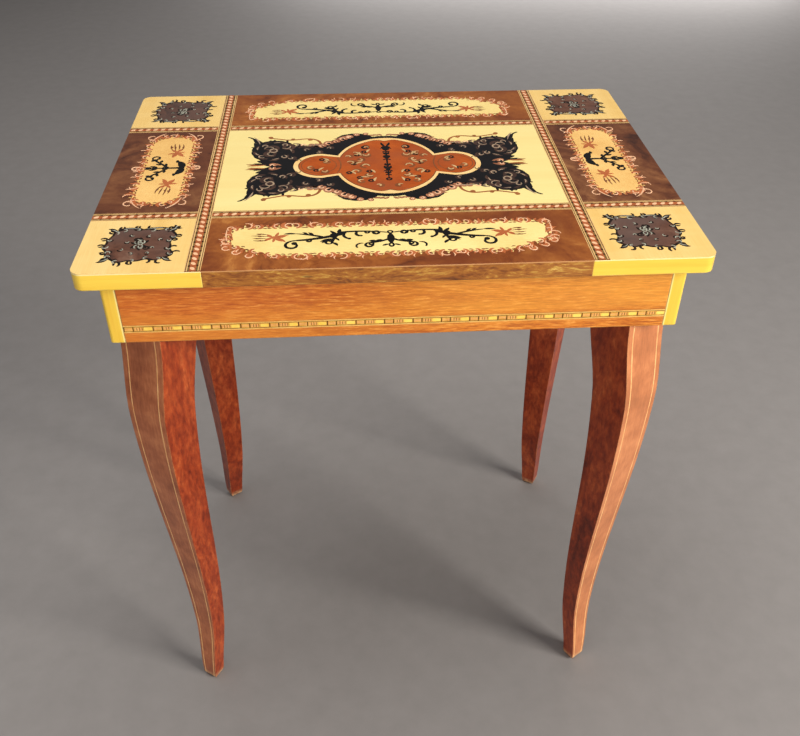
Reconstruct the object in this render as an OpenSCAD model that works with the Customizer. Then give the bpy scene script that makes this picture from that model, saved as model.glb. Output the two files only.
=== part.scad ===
// Musical side table: inlaid lift-up lid, shallow case, four curved legs and a wind-up movement.
// Millimetres, +Z up, front towards -Y. The feet stand on z = 0 and the lid is closed.

/* [Lid] */
// Width of the lid, left to right
lid_w = 400; // [320:1:480]
// Depth of the lid, front to back
lid_d = 288; // [240:1:340]
// Thickness of the lid with its veneers
lid_t = 12; // [10:0.5:18]
// Radius of the lid's corners in plan
lid_corner_r = 7; // [3:0.5:15]
// Thickness of the lipping round the edge
lipping_t = 1.5; // [1:0.1:3]
// Thickness of the top veneers
veneer_t = 0.6; // [0.4:0.1:1]

/* [Top pattern] */
// Distance from the middle of the lid to the two cross bandings
cross_x = 126; // [100:1:150]
// Distance from the middle of the lid to the two long bandings
long_y = 72.5; // [60:0.5:90]
// Width of the bandings
band_w = 10; // [6:0.5:14]

/* [Case] */
// Width of the case
case_w = 376; // [300:1:460]
// Depth of the case
case_d = 264; // [220:1:320]
// Height of the case sides
case_h = 47.8; // [40:0.1:60]
// Thickness of the case sides
wall_t = 9; // [8:0.5:12]
// Side of the square corner posts
post_s = 10; // [10:0.5:16]
// Thickness of the bottom board
bottom_t = 8; // [6:0.5:10]
// Height of the inlaid case banding
case_band_h = 5.5; // [3:0.5:8]
// Height of the banding above the case's lower edge
case_band_z = 7.5; // [5:0.5:15]

/* [Legs] */
// Length of the legs
leg_h = 390; // [330:1:450]
// Angle between the leg's outer face and the case front, in plan
leg_angle = 33.5; // [25:0.5:45]
// Distance of the outer face's middle from the case end, at the top
leg_inset_x = 16; // [15:0.5:30]
// Distance of the outer face's middle from the case front, at the top
leg_inset_y = 10.5; // [10:0.5:30]
// Width of the outer face at the top
leg_top_w = 37.5; // [28:0.5:42]
// Width of the outer face at the foot
leg_foot_w = 12.5; // [10:0.5:20]
// Thickness of the leg at the top
leg_top_t = 36; // [28:1:42]
// Thickness of the leg at the foot
leg_foot_t = 11.5; // [9:0.5:16]
// How far the knee stands out past the top
knee_out = 8; // [0:0.5:12]
// How far the ankle stands in from the top
ankle_in = 6; // [5:0.5:16]

/* [Hinges] */
// Distance of each hinge from the middle
hinge_x = 110; // [80:1:140]
// Length of a hinge
hinge_len = 38; // [25:1:50]
// Radius of the hinge knuckles
knuckle_r = 2.3; // [2:0.1:3]
// Radius of the hinge pins
hinge_pin_r = 1.1; // [0.8:0.1:1.5]

/* [Movement] */
// Module of the crown teeth and the cylinder pinion
crown_m = 0.8; // [0.6:0.1:1]
// Crown teeth on the barrel
crown_n = 30; // [24:2:36]
// Teeth of the cylinder pinion
pinion_n = 12; // [10:2:14]
// Module of the wheel train
wheel_m = 0.5; // [0.4:0.1:0.6]
// Teeth of the cylinder wheel
wheel_n = 36; // [30:2:40]
// Teeth of the governor pinion
gov_pinion_n = 10; // [8:2:12]
// Teeth of the worm wheel
worm_wheel_n = 20; // [16:2:24]
// Number of tines on the comb
tines = 18; // [12:1:24]
// Radius of the cylinder
cyl_r = 6.5; // [5:0.5:8]

/* [Hidden] */
z_case = leg_h;
z_rim = z_case + case_h;
z_lid = z_rim + 0.2;
z_top = z_lid + lid_t;
z_floor = z_case + bottom_t;
in_w = case_w - 2 * wall_t;
in_d = case_d - 2 * wall_t;
axis_y = case_d / 2 + knuckle_r + 0.3;
axis_z = z_lid - 0.1;
leaf_t = 1;
plate_r = 15;
plate_t = 1.6;
notch = post_s - wall_t + 0.1;
box_x = 92;
box_y = 58;
box_wall = 4;
cover_z = z_floor + 32;
cover_t = 3;
felt_t = 1;
// Middle of the barrel, from which the whole movement is laid out
mov_x = 113;
mov_y = 91;
// Heights above the bottom board
crown_z = 14;
cyl_z = crown_z + crown_m * pinion_n / 2;
crown_r = crown_m * crown_n / 2;
crown_face = 1.2;
centre_d = wheel_m * (wheel_n + gov_pinion_n) / 2;
gov_y = centre_d * 0.8;
gov_z = cyl_z - centre_d * 0.6;
worm_r = 2.5;
worm_x = 45.1;
worm_y = gov_y + wheel_m * worm_wheel_n / 2 + worm_r;
worm_lead = 2 * PI * wheel_m;
fly_r = 5.5;
fly_z = 19;
rod_r = 1.5;
rod_y = worm_y + fly_r + 0.3 + rod_r;

maple = [0.93, 0.80, 0.50];
burl = [0.36, 0.20, 0.10];
walnut = [0.72, 0.42, 0.20];
mahogany = [0.50, 0.20, 0.12];
ply = [0.80, 0.66, 0.45];
felt = [0.45, 0.05, 0.08];
brass = [0.80, 0.62, 0.28];
steel = [0.66, 0.67, 0.70];

// ---------- helpers ----------

module box_at(x0, y0, z0, x1, y1, z1) {
  translate([x0, y0, z0])
    cube([x1 - x0, y1 - y0, z1 - z0]);
}

module mirror_x() {
  children();
  mirror([1, 0, 0])
    children();
}

module four_corners() {
  for (sx = [0, 1])
    for (sy = [0, 1])
      mirror([sx, 0, 0])
        mirror([0, sy, 0])
          children();
}

module rounded_rect(w, d, r) {
  difference() {
    square([w, d], center = true);
    for (sx = [0, 1])
      for (sy = [0, 1])
        mirror([sx, 0])
          mirror([0, sy])
            translate([w / 2 - r, d / 2 - r])
              difference() {
                square(r + 1);
                circle(r = r, $fn = 32);
              }
  }
}

// A countersunk wood screw that points down, with its head's flat top at z = 0
module wood_screw(head_r, shank_r, len) {
  difference() {
    union() {
      translate([0, 0, -head_r * 0.7])
        cylinder(h = head_r * 0.7, r1 = shank_r, r2 = head_r, $fn = 20);
      translate([0, 0, -len])
        cylinder(h = len - head_r * 0.7, r = shank_r, $fn = 16);
    }
    translate([0, 0, -0.2])
      cube([head_r * 1.7, head_r * 0.24, 1], center = true);
  }
}

module screw_hole(head_r, shank_r, len) {
  translate([0, 0, -head_r * 0.7])
    cylinder(h = head_r * 0.7 + 0.01, r1 = shank_r + 0.03, r2 = head_r + 0.05, $fn = 20);
  translate([0, 0, -len])
    cylinder(h = len, r = shank_r, $fn = 16);
}

// Involute of a base circle, for the angle t in degrees
function involute(rb, t) = [rb * (cos(t) + t * PI / 180 * sin(t)), rb * (sin(t) - t * PI / 180 * cos(t))];

function turn(p, a) = [p[0] * cos(a) - p[1] * sin(a), p[0] * sin(a) + p[1] * cos(a)];

// Outline of a spur gear with its first tooth on the X axis; play thins each tooth
function gear_points(m, n, play) =
  let (rp = m * n / 2, rb = rp * cos(20), ra = rp + 0.85 * m, rr = rp - 1.2 * m,
    t_tip = sqrt(pow(ra / rb, 2) - 1) * 180 / PI,
    t_pitch = sqrt(pow(rp / rb, 2) - 1) * 180 / PI,
    a_pitch = atan2(involute(rb, t_pitch)[1], involute(rb, t_pitch)[0]),
    half = 90 / n - play / rp * 180 / PI / 2,
    steps = 4)
  [for (k = [0 : n - 1])
    for (side = [-1, 1])
      for (i = [-1 : steps])
        let (j = side < 0 ? i : steps - 1 - i,
          t = j < 0 ? 0 : t_tip * j / steps,
          q = turn(involute(rb, t), -half - a_pitch),
          p = j < 0 ? turn([rr, 0], atan2(q[1], q[0])) : q)
        turn(side < 0 ? p : [p[0], -p[1]], k * 360 / n)];

module gear(m, n, h, play) {
  linear_extrude(h)
    polygon(gear_points(m, n, play));
}

// Stands a shape that was drawn along +Z along +X instead
module along_x() {
  rotate([90, 0, 90])
    children();
}

// Puts a shape of the movement in its place on the bottom board
module movement() {
  translate([mov_x, mov_y, z_floor])
    children();
}

// ---------- lid ----------

module lid_plan(grow) {
  rounded_rect(lid_w + 2 * grow, lid_d + 2 * grow, lid_corner_r + grow);
}

module lid_core() {
  color(ply)
    difference() {
      translate([0, 0, z_lid])
        linear_extrude(lid_t - veneer_t)
          lid_plan(-lipping_t);
      box_at(-in_w / 2 + 9, -in_d / 2 + 11, z_lid - 1, in_w / 2 - 9, in_d / 2 - 11, z_lid + 0.6);
      mirror_x()
        hinge_relief();
    }
}

// Recesses for the knuckles, the leaf and its screws in the lid's underside
module hinge_relief() {
  box_at(hinge_x - hinge_len / 2 - 0.3, axis_y - knuckle_r - 0.5, z_lid - 1,
    hinge_x + hinge_len / 2 + 0.3, axis_y + knuckle_r + 0.7, axis_z + knuckle_r + 0.5);
  box_at(hinge_x - hinge_len / 2, axis_y - 16, z_lid - 1,
    hinge_x + hinge_len / 2, axis_y - knuckle_r, z_lid + leaf_t);
  for (k = [-1, 1])
    translate([hinge_x + k * 12, axis_y - 10, z_lid])
      mirror([0, 0, 1])
        screw_hole(2.2, 1, 9);
}

module lid_lining() {
  color(felt)
    box_at(-in_w / 2 + 9, -in_d / 2 + 11, z_lid, in_w / 2 - 9, in_d / 2 - 11, z_lid + 0.6);
}

module lipping_ring() {
  translate([0, 0, z_lid])
    linear_extrude(lid_t - veneer_t)
      difference() {
        lid_plan(0);
        lid_plan(-lipping_t);
      }
}

// The part of each edge that lies between the corner panels
module lipping_middle() {
  box_at(-cross_x + band_w / 2, -lid_d, z_lid - 1, cross_x - band_w / 2, lid_d, z_top);
  box_at(-lid_w, -long_y + band_w / 2, z_lid - 1, lid_w, long_y - band_w / 2, z_top);
}

module lipping_maple() {
  color(maple)
    difference() {
      lipping_ring();
      lipping_middle();
    }
}

module lipping_burl() {
  color(burl)
    intersection() {
      lipping_ring();
      lipping_middle();
    }
}

// One veneer panel of the top, cut from the lid's outline
module top_veneer(x0, y0, x1, y1) {
  translate([0, 0, z_top - veneer_t])
    linear_extrude(veneer_t)
      intersection() {
        lid_plan(0);
        translate([x0, y0])
          square([x1 - x0, y1 - y0]);
      }
}

module panel_centre() {
  color(maple)
    top_veneer(-cross_x + band_w / 2, -long_y + band_w / 2, cross_x - band_w / 2, long_y - band_w / 2);
}

module panel_front() {
  color(burl)
    top_veneer(-cross_x + band_w / 2, -lid_d / 2, cross_x - band_w / 2, -long_y - band_w / 2);
}

module panel_back() {
  color(burl)
    top_veneer(-cross_x + band_w / 2, long_y + band_w / 2, cross_x - band_w / 2, lid_d / 2);
}

module panel_right() {
  color(burl)
    top_veneer(cross_x + band_w / 2, -long_y + band_w / 2, lid_w / 2, long_y - band_w / 2);
}

module panel_left() {
  color(burl)
    top_veneer(-lid_w / 2, -long_y + band_w / 2, -cross_x - band_w / 2, long_y - band_w / 2);
}

module panel_corners() {
  color(maple)
    four_corners()
      top_veneer(cross_x + band_w / 2, long_y + band_w / 2, lid_w / 2, lid_d / 2);
}

module bandings_cross() {
  color(brass)
    mirror_x()
      top_veneer(cross_x - band_w / 2, -lid_d / 2, cross_x + band_w / 2, lid_d / 2);
}

module bandings_long() {
  color(brass)
    for (s = [-1, 1]) {
      top_veneer(-cross_x + band_w / 2, s * long_y - band_w / 2, cross_x - band_w / 2, s * long_y + band_w / 2);
      mirror_x()
        top_veneer(cross_x + band_w / 2, s * long_y - band_w / 2, lid_w / 2, s * long_y + band_w / 2);
    }
}

// ---------- hinges ----------

module knuckle(x0, x1, hole_r) {
  translate([x0, axis_y, axis_z])
    along_x()
      difference() {
        cylinder(h = x1 - x0, r = knuckle_r, $fn = 28);
        translate([0, 0, -1])
          cylinder(h = x1 - x0 + 2, r = hole_r, $fn = 24);
      }
}

// Clears the pin's way through a leaf
module pin_way() {
  translate([hinge_x - hinge_len, axis_y, axis_z])
    along_x()
      cylinder(h = 2 * hinge_len, r = knuckle_r - 0.4, $fn = 28);
}

module hinge_lid() {
  third = hinge_len / 3;
  knuckle(hinge_x - third / 2 + 0.1, hinge_x + third / 2 - 0.1, hinge_pin_r + 0.03);
  difference() {
    union() {
      box_at(hinge_x - hinge_len / 2, axis_y - 16, z_lid, hinge_x + hinge_len / 2,
        axis_y - knuckle_r - 0.4, z_lid + leaf_t);
      box_at(hinge_x - third / 2 + 0.1, axis_y - knuckle_r - 0.5, z_lid, hinge_x + third / 2 - 0.1,
        axis_y, z_lid + leaf_t);
    }
    pin_way();
    for (k = [-1, 1])
      translate([hinge_x + k * 12, axis_y - 10, z_lid])
        mirror([0, 0, 1])
          screw_hole(2.2, 1, 9);
  }
}

module hinge_case() {
  third = hinge_len / 3;
  for (k = [-1, 1])
    knuckle(hinge_x + k * third - third / 2 + (k > 0 ? 0.1 : 0),
      hinge_x + k * third + third / 2 - (k < 0 ? 0.1 : 0), hinge_pin_r);
  difference() {
    union() {
      box_at(hinge_x - hinge_len / 2, case_d / 2 - wall_t + 0.5, z_rim - leaf_t, hinge_x + hinge_len / 2,
        case_d / 2, z_rim);
      for (k = [-1, 1])
        box_at(hinge_x + k * third - third / 2 + (k > 0 ? 0.1 : 0), case_d / 2 - 0.1, z_rim - leaf_t,
          hinge_x + k * third + third / 2 - (k < 0 ? 0.1 : 0), axis_y, z_rim);
    }
    pin_way();
    for (k = [-1, 1])
      translate([hinge_x + k * 12, case_d / 2 - 4.5, z_rim])
        screw_hole(2.2, 1, 9);
  }
}

module hinge_lid_left() {
  color(brass)
    mirror([1, 0, 0])
      hinge_lid();
}

module hinge_lid_right() {
  color(brass)
    hinge_lid();
}

module hinge_case_left() {
  color(brass)
    mirror([1, 0, 0])
      hinge_case();
}

module hinge_case_right() {
  color(brass)
    hinge_case();
}

module hinge_pins() {
  color(steel)
    mirror_x()
      translate([hinge_x - hinge_len / 2, axis_y, axis_z])
        along_x()
          cylinder(h = hinge_len, r = hinge_pin_r, $fn = 24);
}

module hinge_screws_lid() {
  color(brass)
    mirror_x()
      for (k = [-1, 1])
        translate([hinge_x + k * 12, axis_y - 10, z_lid])
          mirror([0, 0, 1])
            wood_screw(2.2, 1, 8);
}

module hinge_screws_case() {
  color(brass)
    mirror_x()
      for (k = [-1, 1])
        translate([hinge_x + k * 12, case_d / 2 - 4.5, z_rim])
          wood_screw(2.2, 1, 8);
}

// ---------- case ----------

// A side of the case, drawn with its outer face at y = 0 and a tongue at each end
module case_side(len, band) {
  difference() {
    union() {
      box_at(-len / 2, 0, z_case, len / 2, wall_t, z_rim);
      box_at(-len / 2 - 3, 3, z_case, len / 2 + 3, 6, z_rim);
    }
    if (band)
      box_at(-len / 2 - 1, -1, z_case + case_band_z, len / 2 + 1, 1, z_case + case_band_z + case_band_h);
  }
}

module case_front() {
  color(walnut)
    translate([0, -case_d / 2, 0])
      case_side(case_w - 2 * post_s, true);
}

module case_back() {
  color(walnut)
    difference() {
      translate([0, case_d / 2, 0])
        mirror([0, 1, 0])
          case_side(case_w - 2 * post_s, false);
      mirror_x() {
        box_at(hinge_x - hinge_len / 2, case_d / 2 - wall_t + 0.5, z_rim - leaf_t, hinge_x + hinge_len / 2,
          case_d / 2 + 1, z_rim + 1);
        for (k = [-1, 1])
          translate([hinge_x + k * 12, case_d / 2 - 4.5, z_rim])
            screw_hole(2.2, 1, 9);
      }
    }
}

module case_end() {
  translate([case_w / 2, 0, 0])
    rotate([0, 0, 90])
      case_side(case_d - 2 * post_s, true);
}

module case_left() {
  color(walnut)
    mirror([1, 0, 0])
      case_end();
}

module case_right() {
  color(walnut)
    case_end();
}

module corner_posts() {
  color(maple)
    four_corners()
      difference() {
        box_at(case_w / 2 - post_s, case_d / 2 - post_s, z_case, case_w / 2, case_d / 2, z_rim);
        box_at(case_w / 2 - post_s - 1, case_d / 2 - 6, z_case - 1, case_w / 2 - post_s + 3, case_d / 2 - 3,
          z_rim + 1);
        box_at(case_w / 2 - 6, case_d / 2 - post_s - 1, z_case - 1, case_w / 2 - 3, case_d / 2 - post_s + 3,
          z_rim + 1);
        translate([case_w / 2 - 2.5, case_d / 2 - 2.5, z_case - 1])
          difference() {
            cube([3, 3, case_h + 2]);
            translate([0, 0, -1])
              cylinder(h = case_h + 4, r = 2.5, $fn = 32);
          }
      }
}

// Strips of inlay let into the front and the two ends
module case_banding() {
  color(brass) {
    box_at(-case_w / 2 + post_s, -case_d / 2, z_case + case_band_z, case_w / 2 - post_s,
      -case_d / 2 + 1, z_case + case_band_z + case_band_h);
    mirror_x()
      box_at(case_w / 2 - 1, -case_d / 2 + post_s, z_case + case_band_z, case_w / 2,
        case_d / 2 - post_s, z_case + case_band_z + case_band_h);
  }
}

module case_bottom() {
  color(ply)
    difference() {
      box_at(-in_w / 2, -in_d / 2, z_case, in_w / 2, in_d / 2, z_floor);
      four_corners()
        union() {
          box_at(in_w / 2 - notch, in_d / 2 - notch, z_case - 1, in_w, in_d, z_floor + 1);
          translate([leg_cx, leg_cy, z_case - 1])
            cylinder(h = plate_t + 1, r = plate_r, $fn = 40);
          translate([leg_cx, leg_cy, z_case])
            cylinder(h = bottom_t - 0.6, r = 4, $fn = 24);
          flange_screw_places()
            mirror([0, 0, 1])
              screw_hole(2.4, 1.2, 7);
        }
      movement() {
        translate([0, 0, -bottom_t - 1])
          cylinder(h = bottom_t + 2, r = 4, $fn = 32);
        bedplate_screw_places()
          translate([0, 0, -6])
            cylinder(h = 7, r = 1.2, $fn = 16);
      }
    }
}

// Felt that covers the floor and the walls of the storage well
module well_lining() {
  color(felt)
    difference() {
      translate([0, 0, z_floor])
        linear_extrude(z_rim - z_floor - 3)
          well_plan(0);
      translate([0, 0, z_floor + felt_t])
        linear_extrude(case_h)
          well_plan(-felt_t);
    }
}

module well_plan(grow) {
  difference() {
    square([in_w + 2 * grow, in_d + 2 * grow], center = true);
    translate([box_x + grow, box_y + grow])
      square([in_w, in_d]);
    for (s = [-1, 1])
      translate([s * in_w / 2, -in_d / 2])
        square(2 * (notch - grow), center = true);
    translate([-in_w / 2, in_d / 2])
      square(2 * (notch - grow), center = true);
  }
}

// Two strips that wall off the movement in the back right corner
module movement_box() {
  color(ply) {
    box_at(box_x, box_y, z_floor, in_w / 2, box_y + box_wall, cover_z);
    box_at(box_x, box_y + box_wall, z_floor, box_x + box_wall, in_d / 2, cover_z);
  }
}

module cover_ledges() {
  color(ply)
    difference() {
      union() {
        box_at(in_w / 2 - 4, box_y + box_wall, cover_z - 6, in_w / 2, in_d / 2 - notch, cover_z);
        box_at(box_x + box_wall, in_d / 2 - 4, cover_z - 6, in_w / 2 - 4, in_d / 2, cover_z);
      }
      cover_screw_places()
        screw_hole(2, 0.9, 8);
    }
}

module cover_screw_places() {
  for (p = [[in_w / 2 - 2, box_y + 12], [box_x + 12, in_d / 2 - 2]])
    translate([p[0], p[1], cover_z + cover_t])
      children();
}

module movement_cover() {
  color(walnut)
    difference() {
      box_at(box_x, box_y, cover_z, in_w / 2, in_d / 2, cover_z + cover_t);
      box_at(in_w / 2 - notch, in_d / 2 - notch, 0, in_w, in_d, z_top);
      movement()
        translate([worm_x, rod_y, 20])
          cylinder(h = 30, r = 3.5, $fn = 28);
      cover_screw_places()
        screw_hole(2, 0.9, 8);
    }
}

module cover_screws() {
  color(brass)
    cover_screw_places()
      wood_screw(2, 0.9, 7);
}

// ---------- legs ----------

// Middle of the leg's top
leg_cx = case_w / 2 - leg_inset_x - leg_top_t / 2 * sin(leg_angle);
leg_cy = case_d / 2 - leg_inset_y - leg_top_t / 2 * cos(leg_angle);

function ease(a, b, t) = a + (b - a) * (1 - cos(180 * t)) / 2;

// How far the outer face stands out, s = 0 at the floor and 1 at the top
function leg_out(s) =
  s > 0.81 ? ease(0, knee_out, (1 - s) / 0.19) :
  s > 0.19 ? ease(knee_out, -ankle_in, (0.81 - s) / 0.62) :
  ease(-ankle_in, -0.5, (0.19 - s) / 0.19);

function leg_thick(s) = leg_foot_t + (leg_top_t - leg_foot_t) * pow(s, 1.13);

function leg_wide(s) = leg_foot_w + (leg_top_w - leg_foot_w) * pow(s, 0.8);

// Rounds the foot off over its last millimetres
toe_r = 5;
function toe(z) = z < toe_r ? toe_r - sqrt(toe_r * toe_r - pow(toe_r - z, 2)) : 0;

function leg_heights() = concat([0, 0.4, 1, 1.9, 3.2, toe_r],
  [for (i = [1 : 35]) toe_r + (leg_h - toe_r) * i / 35]);

module leg_side_profile() {
  zs = leg_heights();
  n = len(zs);
  polygon(concat(
    [for (i = [0 : n - 1]) [leg_out(zs[i] / leg_h) - toe(zs[i]), zs[i]]],
    [for (i = [n - 1 : -1 : 0])
      [leg_out(zs[i] / leg_h) - leg_thick(zs[i] / leg_h) + toe(zs[i]) * 0.6, zs[i]]]));
}

module leg_front_profile() {
  zs = leg_heights();
  n = len(zs);
  polygon(concat(
    [for (i = [0 : n - 1]) [leg_wide(zs[i] / leg_h) / 2 - toe(zs[i]) * 0.6, zs[i]]],
    [for (i = [n - 1 : -1 : 0]) [-leg_wide(zs[i] / leg_h) / 2 + toe(zs[i]) * 0.6, zs[i]]]));
}

// A leg at the back right corner; its outer face looks away from the table
module leg() {
  color(mahogany)
    difference() {
      translate([case_w / 2 - leg_inset_x, case_d / 2 - leg_inset_y, 0])
        rotate([0, 0, 90 - leg_angle])
          intersection() {
            rotate([90, 0, 0])
              translate([0, 0, -leg_top_w])
                linear_extrude(2 * leg_top_w)
                  leg_side_profile();
            rotate([90, 0, 90])
              translate([0, 0, -2 * leg_top_t])
                linear_extrude(3 * leg_top_t)
                  leg_front_profile();
          }
      translate([leg_cx, leg_cy, leg_h - 42])
        cylinder(h = 50, r = 3.5, $fn = 24);
    }
}

module leg_fl() {
  mirror([1, 0, 0])
    mirror([0, 1, 0])
      leg();
}

module leg_fr() {
  mirror([0, 1, 0])
    leg();
}

module leg_bl() {
  mirror([1, 0, 0])
    leg();
}

module leg_br() {
  leg();
}

module flange_screw_places() {
  for (a = [0 : 120 : 359])
    translate([leg_cx + 11 * cos(a + 60), leg_cy + 11 * sin(a + 60), z_case])
      children();
}

module leg_flanges() {
  color(steel)
    four_corners()
      difference() {
        translate([leg_cx, leg_cy, z_case])
          cylinder(h = plate_t, r = plate_r, $fn = 40);
        translate([leg_cx, leg_cy, z_case - 1])
          cylinder(h = plate_t + 2, r = 3.5, $fn = 24);
        flange_screw_places()
          mirror([0, 0, 1])
            screw_hole(2.4, 1.2, 7);
      }
}

module flange_screws() {
  color(steel)
    four_corners()
      flange_screw_places()
        mirror([0, 0, 1])
          wood_screw(2.4, 1.2, 6.5);
}

// Bolt in the top of each leg that screws into the flange
module leg_bolts() {
  color(steel)
    four_corners()
      translate([leg_cx, leg_cy, leg_h - 40])
        cylinder(h = 40 + bottom_t - 1, r = 3.5, $fn = 24);
}

// ---------- movement: what stays still ----------

bed_x0 = -16;
bed_x1 = 56;
bed_y0 = -28;
bed_y1 = 24;
bed_t = 2;
bearing_a = 14.6;
bearing_b = 38.5;
cyl_x0 = 17.5;
cyl_len = 20;
comb_tip = cyl_r + 0.9 + 0.15;

module bedplate_screw_places() {
  for (p = [[bed_x0 + 4, bed_y0 + 4], [bed_x1 - 4, bed_y0 + 4], [bed_x0 + 4, bed_y1 - 4]])
    translate([p[0], p[1], 0])
      children();
}

// Bedplate with the seat that carries the comb
module bedplate() {
  color(brass)
    movement()
      difference() {
        union() {
          box_at(bed_x0, bed_y0, 0, bed_x1, bed_y1, bed_t);
          box_at(cyl_x0, bed_y0, bed_t, cyl_x0 + cyl_len, bed_y0 + 8, cyl_z - 0.5);
        }
        translate([0, 0, -1])
          cylinder(h = bed_t + 2, r = 2.05, $fn = 32);
        bedplate_screw_places()
          translate([0, 0, bed_t])
            screw_hole(2.2, 1.2, 7);
        comb_screw_places()
          translate([0, 0, -6])
            cylinder(h = 8, r = 0.9, $fn = 16);
      }
}

module bedplate_screws() {
  color(steel)
    movement()
      bedplate_screw_places()
        translate([0, 0, bed_t])
          wood_screw(2.2, 1.2, 7);
}

// Two upright plates that carry the cylinder arbor; the right one carries the governor arbor too
module arbor_bearings() {
  color(brass)
    movement() {
      difference() {
        box_at(bearing_a, -4, bed_t, bearing_a + 1.4, 4, cyl_z + 4);
        bearing_hole(bearing_a - 1, 0, cyl_z, 1.03);
      }
      difference() {
        union() {
          box_at(bearing_b, -4, bed_t, bearing_b + 1.5, 4, cyl_z + 4);
          box_at(bearing_b, 4, bed_t, bearing_b + 1.5, gov_y + 3, gov_z + 3);
        }
        bearing_hole(bearing_b - 1, 0, cyl_z, 1.03);
        bearing_hole(bearing_b - 1, gov_y, gov_z, 0.63);
      }
    }
}

module bearing_hole(x, y, z, r) {
  translate([x, y, z])
    along_x()
      cylinder(h = 4, r = r, $fn = 24);
}

// Bracket that holds the worm upright between two lugs
module governor_frame() {
  x0 = worm_x + fly_r + 0.9;
  color(steel)
    movement()
      difference() {
        union() {
          box_at(x0, gov_y - 4, bed_t, x0 + 1.5, worm_y + 3, 25.5);
          box_at(worm_x - 2, worm_y - 3, bed_t, x0, worm_y + 3, 5);
          box_at(worm_x - 2, worm_y - 3, 24, x0, worm_y + 3, 25.5);
        }
        bearing_hole(x0 - 1, gov_y, gov_z, 0.63);
        translate([worm_x, worm_y, 3.4])
          cylinder(h = 30, r = 0.83, $fn = 24);
      }
}

module comb() {
  pitch = (cyl_len - 1.1) / tines;
  color(steel)
    movement()
      difference() {
        union() {
          box_at(cyl_x0, bed_y0, cyl_z - 0.5, cyl_x0 + cyl_len, bed_y0 + 8.5, cyl_z + 0.9);
          for (i = [0 : tines - 1])
            translate([cyl_x0 + 0.55 + i * pitch, bed_y0 + 8, cyl_z - 0.5])
              cube([pitch - 0.25, -comb_tip - bed_y0 - 8, 1]);
        }
        comb_screw_places()
          translate([0, 0, -6])
            cylinder(h = 8, r = 0.9, $fn = 16);
      }
}

module comb_screw_places() {
  for (x = [cyl_x0 + 4, cyl_x0 + cyl_len - 4])
    translate([x, bed_y0 + 3.8, cyl_z + 0.9])
      children();
}

module comb_screws() {
  color(brass)
    movement()
      comb_screw_places()
        union() {
          difference() {
            cylinder(h = 1.4, r = 1.9, $fn = 24);
            translate([0, 0, 1.2])
              cube([3.2, 0.5, 1], center = true);
          }
          translate([0, 0, -5.5])
            cylinder(h = 5.5, r = 0.9, $fn = 16);
        }
}

// Spring wire wound round the arbor's hub: it grips when the arbor tries to turn back
module wrap_spring() {
  color(steel)
    movement() {
      rotate_extrude($fn = 32)
        for (k = [0, 1])
          translate([3.6, bed_t + 0.5 + k * 0.5])
            circle(r = 0.3, $fn = 13);
      translate([0, 3.6, bed_t + 0.5])
        rotate([0, -90, 0])
          cylinder(h = 11, r = 0.24, $fn = 13);
      translate([-10.7, 3.6, bed_t])
        cylinder(h = 0.8, r = 0.45, $fn = 13);
    }
}

module guide_tube() {
  color(brass)
    movement()
      translate([worm_x, rod_y, 0])
        difference() {
          union() {
            translate([0, 0, 22.8])
              cylinder(h = 12.2, r = 3.5, $fn = 28);
            translate([0, 0, 32 + cover_t])
              cylinder(h = 1, r = 5.5, $fn = 32);
          }
          translate([0, 0, 20])
            cylinder(h = 20, r = rod_r + 0.06, $fn = 28);
          translate([0, 0, 24])
            cylinder(h = 10.5, r = 2.8, $fn = 28);
        }
}

// Coil spring under the plunger's collar, shown pressed together as the closed lid holds it
module plunger_spring() {
  color(steel)
    movement()
      translate([worm_x, rod_y, 24.3])
        for (k = [0 : 3])
          translate([0, 0, k * 0.62])
            rotate_extrude($fn = 24)
              translate([2.15, 0])
                circle(r = 0.25, $fn = 13);
}

// ---------- movement: what moves ----------

module stop_plunger() {
  color(steel)
    movement()
      translate([worm_x, rod_y, 0])
        union() {
          translate([0, 0, 19.6])
            cylinder(h = z_lid - z_floor - 0.1 - 19.6, r = rod_r, $fn = 28);
          translate([0, 0, 26.6])
            cylinder(h = 1.2, r = 2.6, $fn = 28);
        }
}

// Arbor with a square end for the spring's hook and a hub for the wrap spring
module winding_arbor() {
  color(steel)
    movement()
      union() {
        translate([0, 0, -bottom_t - 10])
          cylinder(h = bottom_t + 24.4, r = 2, $fn = 32);
        translate([0, 0, bed_t + 0.15])
          cylinder(h = 1.55, r = 3.2, $fn = 32);
        translate([0, 0, 5.6])
          cylinder(h = 5.6, r = 2.8, $fn = 32);
        translate([0, 0, 13.3])
          cylinder(h = 1.1, r = 3, $fn = 32);
      }
}

// Wing key that screws onto the arbor's end below the case
module winding_key() {
  top = -bottom_t - 1;
  color(steel)
    movement()
      difference() {
        union() {
          translate([0, 0, top - 12])
            cylinder(h = 12, r = 3.4, $fn = 32);
          translate([0, 0, top - 17])
            rotate([90, 0, 0])
              translate([0, 0, -0.9])
                linear_extrude(1.8)
                  key_wings();
        }
        translate([0, 0, top - 9])
          cylinder(h = 10, r = 2, $fn = 32);
      }
}

module key_wings() {
  difference() {
    union() {
      for (s = [-1, 1])
        translate([s * 7, 0])
          circle(r = 6.5, $fn = 40);
      translate([-3, -3])
        square([6, 9]);
    }
    for (s = [-1, 1])
      translate([s * 7.5, 0])
        circle(r = 3, $fn = 28);
  }
}

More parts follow.
